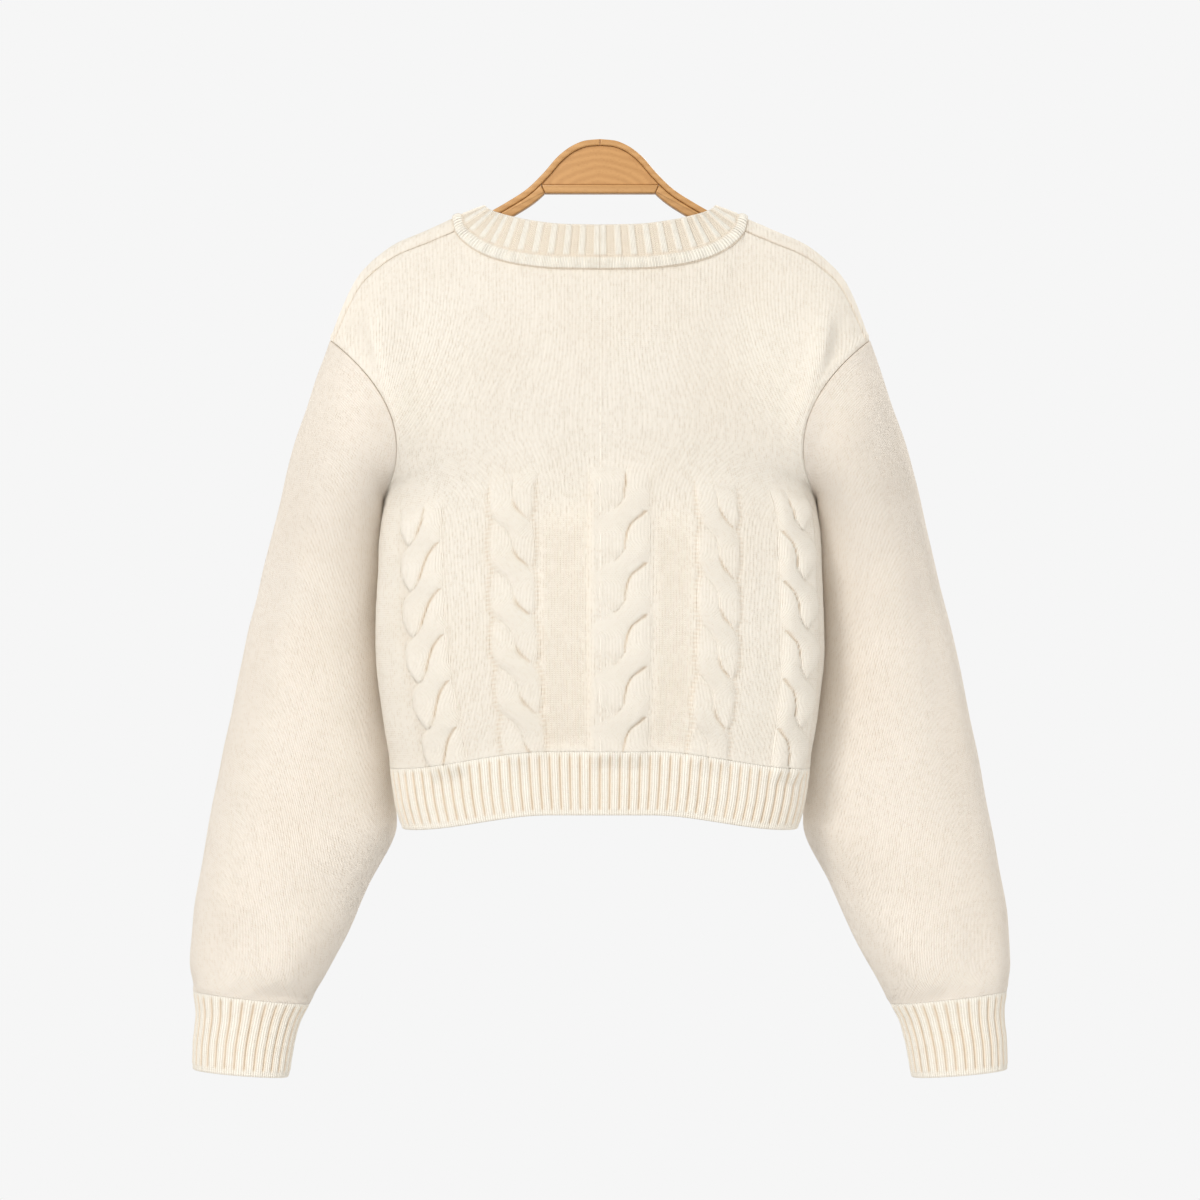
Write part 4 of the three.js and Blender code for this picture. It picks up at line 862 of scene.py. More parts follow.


def knit_material(name, base, shade_and_tone, holes):
    """Stockinette in soft woollen yarn. Where the mesh's `purl` value is 1 its other side shows.
    Its shade value paints shade into creases, grooves and the inner side, and its highlight value
    paints a highlight on raised strands and by the ribs. `holes` tells how open its stitches are."""
    n = Nodes(name)
    uv = n.add("UVMap", {"uv_map": "stitches"}).outputs[0]
    place = n.add("TexCoord").outputs["Object"]
    purl, painted_shade, painted_highlight = (
        n.add("Attribute", {"attribute_name": key}).outputs["Fac"]
        for key in ("purl", "painted_shade", "painted_highlight")
    )
    wander = n.noise(place, 110.0, 2.0)
    wobble = n.times(n.minus(wander, 0.5), 0.2)
    split = n.add("SeparateXYZ", Vector=uv)
    across = n.plus(split.outputs[0], wobble)
    up = n.plus(split.outputs[1], n.times(wobble, 1.6))

    # the two legs of each stitch, or the purl side's rows of bumps
    side = n.times(n.math("ABSOLUTE", n.minus(n.math("FRACT", across), 0.5)), 2.0)
    leg = n.math("SINE", n.times(side, PI))
    climb = n.plus(up, n.times(side, 0.55))
    joint = n.math("ABSOLUTE", n.math("SINE", n.times(climb, PI)))
    plain = n.times(n.math("POWER", leg, 0.6), n.line(joint, 0.3, 0.7))
    bend = n.times(n.math("SINE", n.times(across, 2 * PI)), 1.5)
    bumps = n.math("SINE", n.plus(n.times(up, 2 * PI), bend))
    stitch = n.mix_value(purl, plain, n.line(bumps, 0.5, 0.5))

    # every stitch differs a little, and here and there a small hole opens between two wales
    column, row = n.math("FLOOR", n.plus(across, 0.5)), n.math("FLOOR", climb)
    cell = n.add("CombineXYZ", X=column, Y=row).outputs[0]
    chance = n.add("TexWhiteNoise", {"noise_dimensions": "2D"}, Vector=cell).outputs[0]
    often = n.line(n.plus(painted_shade, purl), 0.5, -0.55)
    opened = n.times(n.plus(chance, often), 2.6, True)
    between = n.times(n.minus(side, 0.5), 2.6, True)
    closed = n.minus(1.0, joint)
    hole = n.times(n.times(opened, between), n.math("POWER", closed, 0.8))
    hole = n.times(n.times(hole, n.line(painted_highlight, -0.7, 1.0)), holes)

    fibre = n.noise(place, 1300.0, 3.0, Roughness=0.7)
    patch = n.noise(place, 16.0, 3.0)
    # painted shade in the dips between the stitches' legs, then uneven tone from stitch to stitch,
    # light fibres and darker patches
    tone = n.blend(n.times(n.minus(1.0, stitch), 0.42), base, shade_and_tone)
    tone = n.blend(n.times(n.minus(chance, 0.45), 0.22, True), tone, shade_and_tone)
    tone = n.blend(n.times(n.minus(fibre, 0.5), 1.3, True), tone, (1, 1, 1, 1))
    tone = n.blend(n.times(n.minus(patch, 0.4), 0.5, True), tone, shade_and_tone)
    # the purl side a little darker, a painted highlight that brings raised strands back to the
    # plain colour, and painted shade in creases, grooves and open stitch holes
    for amount, share, colour in (
        (purl, 0.12, shade_and_tone), (painted_highlight, 0.3, base), (painted_shade, 0.75, SHADE_COLOUR), (hole, 0.6, SHADE_COLOUR),
    ):
        tone = n.blend(n.times(amount, share), tone, colour)
    height = n.minus(n.plus(stitch, n.times(fibre, 0.45)), n.times(hole, 1.2))
    return n.finished(
        tone, height, 0.8, 0.0008, Roughness=0.92, Specular_IOR_Level=0.15, Sheen_Weight=0.2,
        Sheen_Roughness=0.45, Sheen_Tint=linear(255, 248, 238),
    )


knit_body, knit_sleeve, knit_rib, knit_band = (
    knit_material(name, linear(*base), linear(*shade_and_tone), holes)
    for name, base, shade_and_tone, holes in (
        ("cream_stockinette", (254, 247, 235), (237, 222, 200), 0.7),
        ("cream_sleeve_knit", (252, 243, 231), (236, 219, 197), 0.6),
        ("cream_rib_knit", (249, 244, 233), (238, 224, 203), 0.2),
        ("cream_band_knit", (251, 247, 237), (234, 220, 198), 0.35),
    )
)


# ---- cloth pieces --------------------
def seam_offset(full, *edges):
    """Cloth that thins to a rounded edge by each seam, given the distances to them."""
    keep = np.ones_like(edges[0])
    for distance in edges:
        keep = np.minimum(keep, rounded(distance))
    return THIN_EDGE + (full - THIN_EDGE) * keep


def level_near_hem(n, level):
    """Normals that lie level next to the hem, as the rib's own do."""
    flat = unit(n * [1, 1, 0])
    return unit(mix(flat, n, wide(smooth(level / 0.12))))


def drawn_back(p):
    """Draws the side columns and the top row back from their seams by half a seam's gap."""
    q = p.copy()
    for a, b in ((0, 1), (-1, -2)):
        q[:, a] += unit(p[:, b] - p[:, a]) * SEAM_GAP / 2
    q[-1] += unit(p[-2] - p[-1]) * SEAM_GAP / 2
    return q


STRAND_SHIFT = 7.5  # keeps the stitches of neighbouring strands from lining up


def strand_uv(cables, cloth, z, wale, rise):
    """Stitches by square, so that wales follow the strand which is on top in its middle."""
    centre = [sum(corners(grid)) / 4 for grid in (cloth, z)]
    top_strand = cable_field(cables, *centre)[2]
    squares = []
    for at, height, plain, up in zip(*(corners(g) for g in (cloth, z, wale, rise))):
        on_strand = at - strand_middle(cables, top_strand, at, height)
        on_strand = on_strand + STRAND_SHIFT * (top_strand + 1)
        squares.append(stitch_grid(np.where(top_strand >= 0, on_strand, plain), up))
    return np.stack(squares, 2)


EASE_REACH, EASE_ROWS = 0.16, 260  # fewer rows need fewer passes for the same smoothing


def eased(p, level):
    """Smooths the change of slope at the underarm, but not on the side edges."""
    strength = 0.5 * smooth(1.25 - np.abs(level[1:-1] - 1) / EASE_REACH)[:, None, None]
    q = p.copy()
    for _ in range(int(len(level) ** 2 / EASE_ROWS)):
        q[1:-1, 1:-1] += strength * ((q[:-2, 1:-1] + q[2:, 1:-1]) / 2 - q[1:-1, 1:-1])
    return q


BLOUSE = 1.0  # the panels swell out to the height of the ribs below them
BLOUSE_REACH = 12  # over this distance from the ribs
LOOSE_SINK = 0.6  # how far the loose purl ground lies below the plain knit
ARMHOLE_RIDGE = 0.7  # height of the sewn ridge beside an armhole


def panel(name, point, out, us, lower, upper, cloth_at, cables, ground, both_arms):
    """A front or the back. `both_arms` tells that both its sides run up to an armhole."""
    vs = np.concatenate([lower, 1 + upper[1:]])

    def middle(u, v):
        p = eased(point(*np.meshgrid(u, v)), v)
        n = level_near_hem(grid_normals(p, out), wide(v) + 0 * u)
        return drawn_back(p), n

    p, n = middle(us, vs)
    u, v = np.meshgrid(us, vs)
    start, end = distances(p, 1)
    rise, to_top = distances(p, 0)
    cloth, z = cloth_at(u), level_height(v)

    relief, painted_shade, _, painted_highlight = cable_field(cables, cloth, z)
    loose = ground(cloth, z) * smooth(rise / 8)
    relief -= LOOSE_SINK * loose * smooth((0.3 - relief) / 0.6)
    relief += BLOUSE * (1 - smooth(rise / BLOUSE_REACH))
    relief += (0.3 * waves(p, 38, 3) + 0.12 * waves(p, 12, 4)) * smooth((v - 0.05) / 0.1)
    armhole = np.minimum(start, end) if both_arms else end
    above = smooth((v - 0.95) / 0.1)
    relief += ARMHOLE_RIDGE * above * bell((armhole - 4) / 1.8)
    # painted shade along the armhole and top seams, and a painted highlight on the cloth just
    # above the ribs
    painted_shade = np.maximum(painted_shade, 0.2 * above * bell(armhole))
    painted_shade = np.maximum(painted_shade, 0.3 * bell(to_top))
    painted_highlight = np.maximum(painted_highlight, 0.7 * (1 - smooth(rise / 9)))

    outer = p + n * wide(seam_offset(HALF_WALL + relief, start, end, to_top))
    wale = mix(cloth, p[..., 0] * 1.02, smooth((v - 1) / 0.9))
    uv = strand_uv(cables, cloth, z, wale, rise)
    inner_v, inner_u = coarse(46, 60, vs, us)
    q, m = middle(inner_u, inner_v)
    inner_rise, inner_top = distances(q, 0)
    plain = np.full(q.shape[:2], HALF_WALL)
    inner = q - m * wide(seam_offset(plain, *distances(q, 1), inner_top))
    inner_uv = stitch_grid(cloth_at(inner_u)[None, :], inner_rise)
    return wall(name, outer, inner, uv, inner_uv, knit_body, False, 0.8 * loose, painted_shade, painted_highlight)


TOP_HEIGHT = -70  # where the cables would stand at a panel's top edge
LOOSE_STRIPS, LOOSE_TOP = ((5, 46), (-69, -36)), -255


def level_height(v):
    """The height that the cables are placed by, at a panel's level."""
    return np.where(v > 1, mix(UNDERARM, TOP_HEIGHT, v - 1), mix(HEM_TOP, UNDERARM, v))


def back_ground(cloth, z):
    """Loose purl stitches between the middle cable and its neighbours."""
    strip = sum(smooth((cloth - a) / 9) * smooth((b - cloth) / 9) for a, b in LOOSE_STRIPS)
    return strip * smooth((LOOSE_TOP - z) / 40)


def no_ground(cloth, z):
    return 0 * cloth


def make_back():
    us = stations(2 * HALF_RING, 1.3) * 2 - 1
    lower, upper = stations(200, 1.2, False, False), stations(165, 1.45, False, True)
    piece = panel(
        "back_knit", back_point, -1, us, lower, upper, lambda u: u * HALF_RING,
        BACK_CABLES, back_ground, True,
    )
    knitted(piece, "back_panel", "cream_knit", (0.39, 0.375), area=0.1355)


def front_cables(hand):
    return [{**c, "lean": c["lean"] * hand} for c in FRONT_CABLES]


def front_cloth(u):
    return mix(PLACKET_HALF, HALF_RING, u)


def make_front(hand, side):
    us = stations(HALF_RING - PLACKET_HALF, 1.3)
    lower, upper = stations(200, 1.3, False, False), stations(215, 1.7, False, True)
    piece = panel(
        f"front_knit_{side}", lambda u, v: front_point(hand, u, v), hand, us, lower, upper,
        front_cloth, front_cables(hand), no_ground, False,
    )
    knitted(piece, f"front_panel_{side}", "cream_knit", (0.19, 0.4), area=0.0585)


GROOVE = 0.7  # how far the grooves between ribs are sunk
RIB_PROUD = 0.4  # how far the ribs stand out beyond the panels' swell
RIB_START = 5  # the ribs grow to their full height over this length
EDGE_RISE = 1.0  # how far the smooth roll at the free edge stands out
EDGE_ROLL = 4  # length of that roll
CURL = 1.6  # the last of a border, which curls round its free edge


def ribs_across(phase):
    """Height of plump ribs from 0 to 1, with a narrow groove at each whole number of the phase,
    and how deep in its groove each point lies."""
    away = np.abs(2 * (phase - np.floor(phase)) - 1)
    return np.sqrt(np.maximum(0, 1 - away**3.2)), bell((1 - away) / 0.3)


def edge_rows(length):
    """Rows of a ribbed border: their shares of its length, and how far each has curled round its
    free edge."""
    body = stations(length - CURL, 0.95, False, False) * (length - CURL) / length
    curl = np.linspace(0, PI, 9)[1:]
    share = np.concatenate([body, 1 - CURL / length + CURL / length * np.sin(curl)])
    return share, np.concatenate([0 * body, curl])


def curled(full, turned):
    """Offset of a wall's outer side as it curls round a free edge to the inner side."""
    round_edge = (full + HALF_WALL) / 2 * np.cos(turned) + (full - HALF_WALL) / 2
    return np.where(turned > 0, round_edge, full)


def ribbed(name, point, normal_of, columns, ribs_at, length, closed=False, start_relief=None):
    """A ribbed border, from its sewn edge down to its free one."""
    share, curl = edge_rows(length)
    u, s = np.meshgrid(columns, share)
    turned = np.meshgrid(columns, curl)[1]
    p = point(u, s)
    down = s * length

    top, groove = ribs_across(ribs_at(u) + 0.04 * waves(p, 60, 9))
    rise = (BLOUSE + RIB_PROUD + GROOVE) * top * (1 + 0.07 * waves(p, 14, 5))
    full = mix(HALF_WALL + BLOUSE, HALF_WALL - GROOVE + rise, smooth(down / RIB_START))
    if start_relief is not None:
        full = full + start_relief(u, s)
    at_edge = smooth((down - length + EDGE_ROLL + 1.2) / 1.8)
    full = mix(full, HALF_WALL + EDGE_RISE - 0.25 * groove, at_edge)
    # painted shade in the grooves between ribs, fading in below the seam and out at the rolled
    # edge
    painted_shade = 0.75 * groove * smooth(down / RIB_START) * (1 - 0.8 * at_edge)
    outer = p + normal_of(u, s, p) * wide(curled(full, turned))

    inner_share, inner_columns = coarse(8, 40 if closed else 60, share[curl == 0][:-1], columns)
    inner_u, inner_s = np.meshgrid(inner_columns, inner_share)
    q = point(inner_u, inner_s)
    inner = q - normal_of(inner_u, inner_s, q) * HALF_WALL
    wales, inner_wales = ribs_at(columns) * 2 + 0.5, ribs_at(inner_columns) * 2
    if closed:
        wales, inner_wales = (np.append(w, 2 * w[-1] - w[-2]) for w in (wales, inner_wales))
    uv, inner_uv = (
        np.stack(np.meshgrid(across, at * length / COURSE), -1)
        for across, at in ((wales, share), (inner_wales, inner_share))
    )
    return wall(name, outer, inner, uv, inner_uv, knit_rib, closed, painted_shade=painted_shade)


def make_hem(name, node, ribs, start, end, point_at, out, cables, cloth_at, width):
    height = HEM_TOP - HEM_BOTTOM

    def point(u, s):
        return point_at(u, mix(HEM_TOP, HEM_BOTTOM, s))

    def level_normal(u, s, p):
        return unit(grid_normals(p, out) * [1, 1, 0])

    def start_relief(u, s):
        cable = cable_field(cables, cloth_at(u), np.full(u.shape, HEM_TOP, float))[0]
        return cable * (1 - smooth(s * height / 14))

    columns = np.linspace(start, end, ribs * 10 + 1)
    gap = SEAM_GAP / HALF_RING / 2
    columns[0], columns[-1] = columns[0] + gap, columns[-1] - gap
    piece = ribbed(
        name, point, level_normal, columns, lambda u: (u - start) / (end - start) * ribs,
        height, start_relief=start_relief,
    )
    knitted(piece, node, "cream_rib", (width, height * MM))


def make_cuff(hand, side):
    def point(u, s):
        return tube_point(CUFF, hand, u * 2 * PI, s)

    def normal_of(u, s, p):
        return section_normal(section(CUFF, s), u * 2 * PI) * [hand, 1, 1]

    columns = np.linspace(0, 1, CUFF_RIBS * 10 + 1)[:-1]
    piece = ribbed(
        f"cuff_knit_{side}", point, normal_of, columns, lambda u: u * CUFF_RIBS, CUFF_LENGTH, True
    )
    knitted(piece, f"cuff_{side}", "cream_rib", (0.165, CUFF_LENGTH * MM))


def sleeve_middle(hand, angles, shares):
    angle, share = np.meshgrid(angles, shares)
    p = tube_point(SLEEVE, hand, angle, share, SLEEVE_FOLDS)
    n = grid_normals(p, -hand, closed=True)
    end = section_normal(section(SLEEVE, share), angle) * [hand, 1, 1]
    return p, unit(mix(n, end, wide(smooth((share - 0.94) / 0.06))))


GATHER = 36  # the sleeve is gathered over this length above its cuff
SLEEVE_LENGTH = 480


def make_sleeve(hand, side):
    angles, shares = np.linspace(-PI, PI, 161)[:-1], stations(SLEEVE_LENGTH, 2.1, True, False)
    p, n = sleeve_middle(hand, angles, shares)
    p[0] += unit(p[1] - p[0]) * SEAM_GAP / 2
    from_top, to_cuff = distances(p, 0)
    gather = smooth(1 - to_cuff / GATHER) * smooth(to_cuff / 5)
    relief = 0.4 * waves(p, 44, 7 + hand) + 0.9 * waves(p * [1, 1, 0.12], 13, 21) * gather
    relief = relief * smooth(to_cuff / 4) + BLOUSE * (1 - smooth(to_cuff / BLOUSE_REACH))
    outer = p + n * wide(seam_offset(HALF_WALL + relief, from_top * 1.5))
    turn, down = np.meshgrid(angles, shares)
    # painted shade on the sleeve's inner side, where it lies against the body, and along its top
    # seam
    shade_beside_body = bell((PI - np.abs(turn)) / 0.75)
    shade_beside_body = shade_beside_body * smooth(down / 0.05) * smooth((0.62 - down) / 0.2)
    painted_shade = np.maximum(0.2 * bell(from_top), 0.4 * shade_beside_body)

    inner_share, inner_angle = coarse(40, 48, shares, angles)
    q, m = sleeve_middle(hand, inner_angle, inner_share)
    inner_run = distances(q, 0)[0]
    inner = q - m * wide(seam_offset(np.full(q.shape[:2], HALF_WALL), inner_run))
    around = np.linalg.norm(np.roll(p, -1, axis=1) - p, axis=-1).sum(1) / (2 * PI)
    uv = sleeve_uv(around, angles, from_top)
    inner_uv = sleeve_uv(np.interp(inner_share, shares, around), inner_angle, inner_run)
    name = f"sleeve_knit_{side}"
    piece = wall(name, outer, inner, uv, inner_uv, knit_sleeve, True, painted_shade=painted_shade)
    knitted(piece, f"sleeve_{side}", "cream_knit", (0.3, 0.47), area=0.112)


def sleeve_uv(around, angles, run):
    """Wales run down the sleeve; `around` is its circumference by radian at each row."""
    u = around[:, None] * np.append(angles, PI)[None, :]
    return stitch_grid(u, np.concatenate([run, run[:, :1]], axis=1))


BAND_WIDTH = 33.0
BAND_BAR = 1.5  # how high the band's bars stand over the recesses between them
BAND_ROLL = 2.2  # height of the roll along the band's sewn edge
UNDER_SEAM = 1.6  # how far the band is tucked in under that roll
BAR_STITCHES = 5  # wales from one bar to the next
BAR_SHIFT = 0.3  # moves the bars along, so that two meet at the centre back


def band_middle(hand, along, share):
    u, w = np.meshgrid(along, share)
    p = band_point(hand, u, np.clip(w, -0.06, 1))
    n = grid_normals(p, -hand)
    n = np.where(wide(u > AT_V_BOTTOM + 4), unit(n * [1, 1, 0]), n)
    return p, np.where(wide(u == 0), unit(n * [0, 1, 1]), n)


def make_band(hand, side):
    stops = [0, AT_SHOULDER_SEAM, AT_V_BOTTOM, BAND_LENGTH]
    runs = [np.linspace(a, b, ribs * 16 + 1) for a, b, ribs in zip(stops, stops[1:], BAND_RIBS)]
    along = np.concatenate([runs[0], runs[1][1:], runs[2][1:]])
    rib = np.linspace(0, sum(BAND_RIBS), len(along)) + BAR_SHIFT
    roll_end, curl_start = 9.5, BAND_WIDTH - CURL
    near = np.linspace(-UNDER_SEAM, roll_end, 15)
    flat = np.concatenate([near, np.linspace(roll_end, curl_start, 16)[1:]])
    curl = np.linspace(0, PI, 8)[1:]
    share = np.concatenate([flat, curl_start + CURL * np.sin(curl)]) / BAND_WIDTH
    turned = np.meshgrid(along, np.concatenate([0 * flat, curl]))[1]
    p, n = band_middle(hand, along, share)

    phase, s = np.meshgrid(rib, share)
    away = 1 - np.abs(2 * (phase - np.floor(phase)) - 1)  # 1 in the middle of a bar
    bar = smooth((away - 0.5) / 0.18)
    above_roll = smooth((s - BAND_SEAM_SHARE + 0.02) / 0.05)
    free = smooth((1 - s) / 0.06 + 0.25)
    round_roll = clamp((s + 0.05) / (BAND_SEAM_SHARE + 0.05))
    roll = BAND_ROLL * np.sqrt(np.maximum(0, np.sin(PI * round_roll))) * (s < BAND_SEAM_SHARE)
    knots = 0.3 * np.cos(2 * PI * BAR_STITCHES * phase)
    full = HALF_WALL + BAND_BAR * bar * above_roll * free + roll * (1 + knots)
    full = np.where(s < -0.02, 0.4, full + 0.12 * waves(p, 12, 31))
    outer = p + n * wide(curled(full, turned))
    recess = (1 - bar) * above_roll * free
    groove = bell((s - BAND_SEAM_SHARE) / 0.035)
    # painted shade in the recesses between bars, in the groove along the roll's top edge and on
    # the part tucked under the roll
    painted_shade = np.maximum(0.3 * recess, np.maximum(0.45 * groove, 0.5 * (s < 0)))

    inner_share = np.array([0.0, 0.25, 0.5, 0.75, 1 - CURL / BAND_WIDTH])
    q, m = band_middle(hand, along[::8], inner_share)
    inner = q - m * HALF_WALL
    uv = np.stack([phase * BAR_STITCHES, s * BAND_WIDTH / COURSE], -1)
    inner_uv = np.meshgrid(rib[::8] * BAR_STITCHES, inner_share * BAND_WIDTH / COURSE)
    inner_uv = np.stack(inner_uv, -1)
    name = f"band_knit_{side}"
    piece = wall(name, outer, inner, uv, inner_uv, knit_band, False, 0.8 * recess, painted_shade)
    knitted(piece, f"band_{side}", "cream_rib", (BAND_LENGTH * MM, BAND_WIDTH * MM))


make_back()
make_hem(
    "hem_knit_back", "hem_rib_back", HEM_RIBS_BACK, -1, 1, lambda u, z: ring(u, z, 1), 1,
    BACK_CABLES, lambda u: u * HALF_RING, 0.36,
)
for hand, side in ((1, "left"), (-1, "right")):
    make_front(hand, side)
    make_hem(
        f"hem_knit_front_{side}", f"hem_rib_front_{side}", HEM_RIBS_FRONT, 0, 1,
        lambda u, z, hand=hand: front_lower(hand, u, z), -hand,
        front_cables(hand), front_cloth, 0.163,
    )
    make_sleeve(hand, side)
    make_cuff(hand, side)
    make_band(hand, side)


# ---- hanger --------------------
def wood_material(name, light, dark, along, wave, middle=(0, 0, 0)):
    """Wood whose grain is drawn out by `along`; `wave` says how its year rings lie."""
    n = Nodes(name)
    place = n.add("TexCoord").outputs["Object"]
    stretched = n.add("Mapping", None, Vector=place, Location=middle, Scale=along).outputs[0]
    warp = n.noise(stretched, 18.0, 3.0)
    rings = n.add("TexWave", wave, Vector=stretched, Scale=60.0, Distortion=4.0, Detail=2.0)
    pores = n.noise(stretched, 900.0, 2.0)
    tone = n.blend(n.times(rings.outputs[1], 0.35), light, dark)
    tone = n.blend(n.times(warp, 0.35), tone, dark)
    tone = n.blend(n.ramp(pores, (0.55, (0, 0, 0, 1)), (0.75, (0.35, 0.35, 0.35, 1))), tone, dark)
    return n.finished(tone, pores, 0.15, 0.0004, Roughness=0.42, Specular_IOR_Level=0.4)


BEECH, BEECH_DARK = linear(207, 160, 104), linear(166, 117, 66)
STRAIGHT = {"wave_type": "BANDS", "bands_direction": "Z"}
ARCHED = {"wave_type": "RINGS", "rings_direction": "Y"}
wood_strip = wood_material("beech_strip", BEECH, BEECH_DARK, (0.4, 1, 1), STRAIGHT)
wood_panel = wood_material(
    "beech_panel", linear(203, 154, 98), BEECH_DARK, (0.7, 1, 1), ARCHED, (0, 0, 0.045)
)
GLUE, CROWN_GAP = 0.25, 0.04  # the joints between strips, and between the two at the crown


def hanger_line(depth):
    """The arch's right half from the crown to the tip, `depth` below its top, in X and Z."""
    along = np.linspace(0, 1, 91)

    def at(t):
        return np.stack([HANGER_TOP.read("x", t), HANGER_TOP.read("z", t)], -1)

    tangent = unit(at(clamp(along + 0.01)) - at(clamp(along - 0.01)))
    tangent[0] = (1, 0)
    return at(along) + np.stack([tangent[:, 1], -tangent[:, 0]], -1) * depth


def below(line, z):
    """The part of a line that lies under the height z."""
    first = np.argmax(line[:, 1] < z)
    t = (z - line[first - 1, 1]) / (line[first, 1] - line[first - 1, 1])
    return np.concatenate([[mix(line[first - 1], line[first], t)], line[first:]])


def new_mesh(name, points, faces):
    """A mesh from points in millimetres."""
    mesh = bpy.data.meshes.new(name)
    mesh.from_pydata([tuple(np.array(p) * MM) for p in points], [], faces)
    return mesh


def smoothed(work, mesh, angle):
    """Writes a worked mesh back, smooth but for edges sharper than `angle` in degrees."""
    bmesh.ops.triangulate(work, faces=[f for f in work.faces if len(f.verts) > 4])
    work.to_mesh(mesh)
    work.free()
    mesh.shade_smooth()
    mesh.set_sharp_from_angle(angle=np.radians(angle))


def board(name, node, outline, width=HANGER_WIDTH, material=wood_strip, bevel=1.3):
    """A flat piece of wood from its outline in X and Z, with rounded edges."""
    count = len(outline)
    points = [(x, y, z) for y in (width / 2, -width / 2) for x, z in outline]
    sides = [(i, (i + 1) % count, (i + 1) % count + count, i + count) for i in range(count)]
    caps = [list(range(count))[::-1], list(range(count, 2 * count))]
    mesh = new_mesh(name, points, caps + sides)
    work = bmesh.new()
    work.from_mesh(mesh)
    bmesh.ops.recalc_face_normals(work, faces=work.faces)
    caps = [f for f in work.faces if abs(f.normal.y) > 0.9]
    edges = [e for e in work.edges if any(f in caps for f in e.link_faces)]
    bmesh.ops.bevel(work, geom=edges, offset=bevel * MM, segments=3, profile=0.5, affect="EDGES")
    smoothed(work, mesh, 50)
    piece = placed(name, mesh, material)
    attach(piece, "root")
    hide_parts(node)


def make_hanger():
    depth = OUTER_STRIP + GLUE
    upper = below(hanger_line(depth), CROSSBAR_TOP)
    lower = below(hanger_line(depth + INNER_STRIP), CROSSBAR_TOP - INNER_STRIP)
    arch = np.concatenate([hanger_line(0), hanger_line(OUTER_STRIP)[::-1]])
    arch[:, 0] = np.maximum(arch[:, 0], CROWN_GAP / 2)
    arm = np.concatenate([upper, lower[::-1]])
    for hand, side in ((1, "left"), (-1, "right")):
        board(f"arch_strip_{side}", f"hanger_outer_strip_{side}", arch * [hand, 1])
        board(f"arm_strip_{side}", f"hanger_inner_strip_{side}", arm * [hand, 1])
    ends = np.array([upper[0], lower[0]]) - [GLUE, 0]
    board("crossbar", "hanger_crossbar", np.concatenate([ends, (ends * [-1, 1])[::-1]]))
    floor = CROSSBAR_TOP + GLUE
    line = hanger_line(depth)
    right = np.concatenate([line[line[:, 1] > floor + 0.5], below(line, floor)[:1]])
    outline = np.concatenate([right, (right[1:] * [-1, 1])[::-1]])
    board("arch_panel", "hanger_panel", outline, HANGER_WIDTH - 4, wood_panel, 0.3)


make_hanger()


# ---- buttons --------------------
def horn_material():
    n = Nodes("pale_horn")
    place = n.add("TexCoord").outputs["Object"]
    cloud = n.noise(place, 120.0, 4.0, Distortion=1.5)
    tones = (0.3, (214, 196, 164)), (0.5, (234, 220, 194)), (0.72, (244, 235, 216))
    tone = n.ramp(cloud, *((at, linear(*colour)) for at, colour in tones))
    return n.finished(tone, Roughness=0.28, Coat_Weight=0.3)


def thread_material():
    n = Nodes("cream_thread")
    place = n.add("TexCoord").outputs["Object"]
    twist = n.noise(place, 1800.0, 2.0)
    tone = n.blend(twist, linear(246, 238, 222), linear(224, 208, 182))
    return n.finished(tone, twist, 0.4, 0.0002, Roughness=0.8)


horn = horn_material()
thread = thread_material()


def lathe(profile, count, centre):
    """A disc turned round Y from (radius, depth) points, its face towards -Y."""
    x, y, z = centre
    points, faces, rings = [], [], []
    for r, depth in profile:
        turns = np.linspace(0, 2 * PI, count, endpoint=False) if r else [0]
        first = len(points)
        points += [(x + r * np.cos(a), y - depth, z + r * np.sin(a)) for a in turns]
        rings.append([first + i * (r > 0) for i in range(count)])
    for low, high in zip(rings, rings[1:]):
        for i in range(count):
            j = (i + 1) % count
            face = [low[i], low[j], high[j], high[i]]
            faces.append([k for n, k in enumerate(face) if k not in face[:n]])
    return points, faces


HOLE_RADIUS, HOLE_PLACE = 1.0, 1.8
CLEAN = 2e-5  # metres: corners closer than this are one


def rods(name, ends, radius, segments):
    """Closed round rods in one mesh, each between two points in millimetres."""
    work = bmesh.new()
    for start, end in ends:
        start, end = Vector(start) * MM, Vector(end) * MM
        turn = (end - start).to_track_quat("Z", "Y").to_matrix().to_4x4()
        turn.translation = (start + end) / 2
        bmesh.ops.create_cone(
            work, cap_ends=True, segments=segments, radius1=radius * MM, radius2=radius * MM,
            depth=(end - start).length, matrix=turn,
        )
    mesh = bpy.data.meshes.new(name)
    work.to_mesh(mesh)
    work.free()
    return mesh


def drilled(piece, ends):
    """The piece with round holes cut through it along the given lines."""
    drill = placed("drill", rods("drill", ends, HOLE_RADIUS, 16))
    cut = piece.modifiers.new("holes", "BOOLEAN")
    cut.operation, cut.object, cut.solver = "DIFFERENCE", drill, "EXACT"
    graph = bpy.context.evaluated_depsgraph_get()
    mesh = bpy.data.meshes.new_from_object(piece.evaluated_get(graph))
    piece.modifiers.clear()
    bpy.data.objects.remove(drill)
    work = bmesh.new()
    work.from_mesh(mesh)
    bmesh.ops.remove_doubles(work, verts=work.verts, dist=CLEAN)
    bmesh.ops.dissolve_degenerate(work, edges=work.edges, dist=CLEAN)
    smoothed(work, mesh, 40)
    piece.data = mesh


BAR_CROWN = 1.3 * 0.8  # what a button lies over: the band's bars, pressed in a little
SHANK = 0.9  # length of thread between a button and the cloth


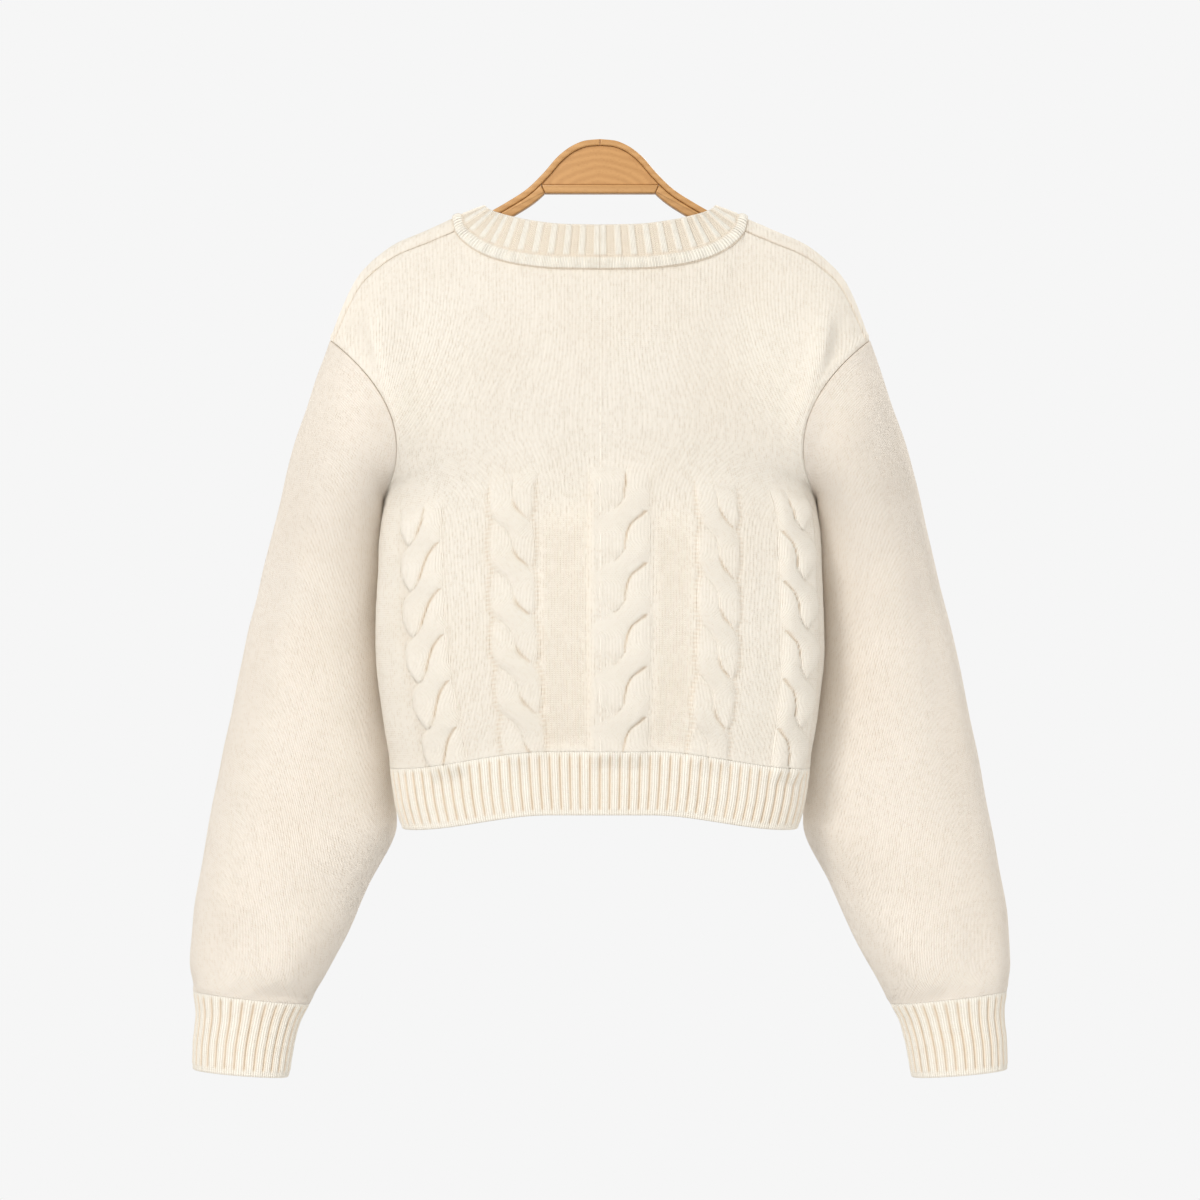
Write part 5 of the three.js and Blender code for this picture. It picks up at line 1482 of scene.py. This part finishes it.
def make_buttons():
    r, t = BUTTON_RADIUS, BUTTON_THICKNESS
    profile = [
        (0, 0), (r - 1.4, 0), (r - 0.5, 0.3), (r, 1.1), (r, t - 1.1), (r - 0.4, t - 0.3),
        (r - 1.2, t), (r - 2, t - 0.2), (r - 2.9, t - 0.9), (0, t - 1),
    ]
    both = (-HOLE_PLACE, HOLE_PLACE)
    for number, z in enumerate(BUTTON_HEIGHTS, 1):
        back = ring(0.0, float(z), -1)[1] - PLACKET_LIFT - HALF_WALL - BAR_CROWN - SHANK
        points, faces = lathe(profile, 48, (0, back, z))
        mesh = new_mesh(f"horn_button_{number}", points, faces)
        button = placed(mesh.name, mesh, horn)
        face = back - t + 1
        places = [(x, z + up) for x in both for up in both]
        drilled(button, [((x, back + 2, height), (x, face - 2, height)) for x, height in places])
        ends = []
        for up in both:
            left, right = (x * (HOLE_PLACE - 0.1) for x in (-1, 1))
            ends.append(((left, face - 0.35, z + up), (right, face - 0.35, z + up)))
            ends += [((x, face - 0.5, z + up), (x, back + 0.4, z + up)) for x in (left, right)]
        sewn = placed(f"button_thread_{number}", rods("thread", ends, 0.6, 10), thread)
        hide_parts(f"button_{number}")
        for piece, slot in ((button, "button_horn"), (sewn, "cream_rib")):
            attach(piece, "root")


make_buttons()


# ---- stage, camera, light --------------------
CAMERA_DISTANCE, VIEW_WIDTH, VIEW_MIDDLE = 3.0, 0.876, -0.336
FLOOR_Z, FLOOR_RADIUS = -0.98, 1.25


def make_stage():
    """A round floor, small enough to stay below the picture's edge."""
    angles = np.linspace(0, 2 * PI, 96, endpoint=False)
    points = [(FLOOR_RADIUS * np.cos(a), FLOOR_RADIUS * np.sin(a), FLOOR_Z) for a in angles]
    mesh = bpy.data.meshes.new("floor")
    mesh.from_pydata(points, [], [list(range(len(points)))])
    colour = linear(213, 213, 213)
    matt = Nodes("pale_floor").finished(Base_Color=colour, Roughness=1.0, Specular_IOR_Level=0.0)
    placed("floor", mesh, matt)


def make_world(light, seen):
    """Even light from all round, against a background of its own brightness."""
    world = bpy.data.worlds.new("studio")
    world.use_nodes = True
    nodes, link = world.node_tree.nodes, world.node_tree.links.new
    background, plain = nodes["Background"], nodes.new("ShaderNodeBackground")
    background.inputs[0].default_value = (1, 0.995, 0.985, 1)
    background.inputs[1].default_value = light
    plain.inputs[0].default_value = seen
    path, either = nodes.new("ShaderNodeLightPath"), nodes.new("ShaderNodeMixShader")
    link(path.outputs["Is Camera Ray"], either.inputs[0])
    link(background.outputs[0], either.inputs[1])
    link(plain.outputs[0], either.inputs[2])
    link(either.outputs[0], nodes["World Output"].inputs["Surface"])
    bpy.context.scene.world = world


def soft_light(name, place, size, power, colour):
    """A square lamp that lights the middle of the garment and isn't seen itself."""
    data = bpy.data.lights.new(name, "AREA")
    data.shape, data.size, data.size_y = "RECTANGLE", size, size
    data.energy, data.color = power, colour
    lamp = placed(name, data)
    lamp.location, lamp.visible_camera = place, False
    aim = np.array(MIDDLE, float) - place
    lamp.rotation_euler = Vector(aim).to_track_quat("-Z", "Y").to_euler()


def make_camera():
    data = bpy.data.cameras.new("camera")
    data.sensor_width, data.lens = 36, 36 * CAMERA_DISTANCE / VIEW_WIDTH
    data.clip_end = 50
    camera = placed("camera", data)
    camera.location = (0, CAMERA_DISTANCE, VIEW_MIDDLE)
    camera.rotation_euler = (PI / 2, 0, PI)
    bpy.context.scene.camera = camera


make_stage()
make_camera()
MIDDLE = (0, 0, -0.35)
WARM = (1, 0.985, 0.955)
soft_light("key", (2.0, 2.8, 1.9), 1.2, 78, WARM)
soft_light("fill", (-2.4, 2.6, 0.2), 2.0, 20, (1, 0.98, 0.94))
soft_light("by_camera", (0.3, 3.2, -0.2), 1.2, 12, WARM)
soft_light("front_key", (-2.0, -2.8, 1.9), 1.2, 84, WARM)
soft_light("front_fill", (2.4, -2.6, 0.2), 2.0, 24, WARM)
make_world(0.68, linear(246, 246, 246))
bpy.context.scene.view_settings.view_transform = "Standard"
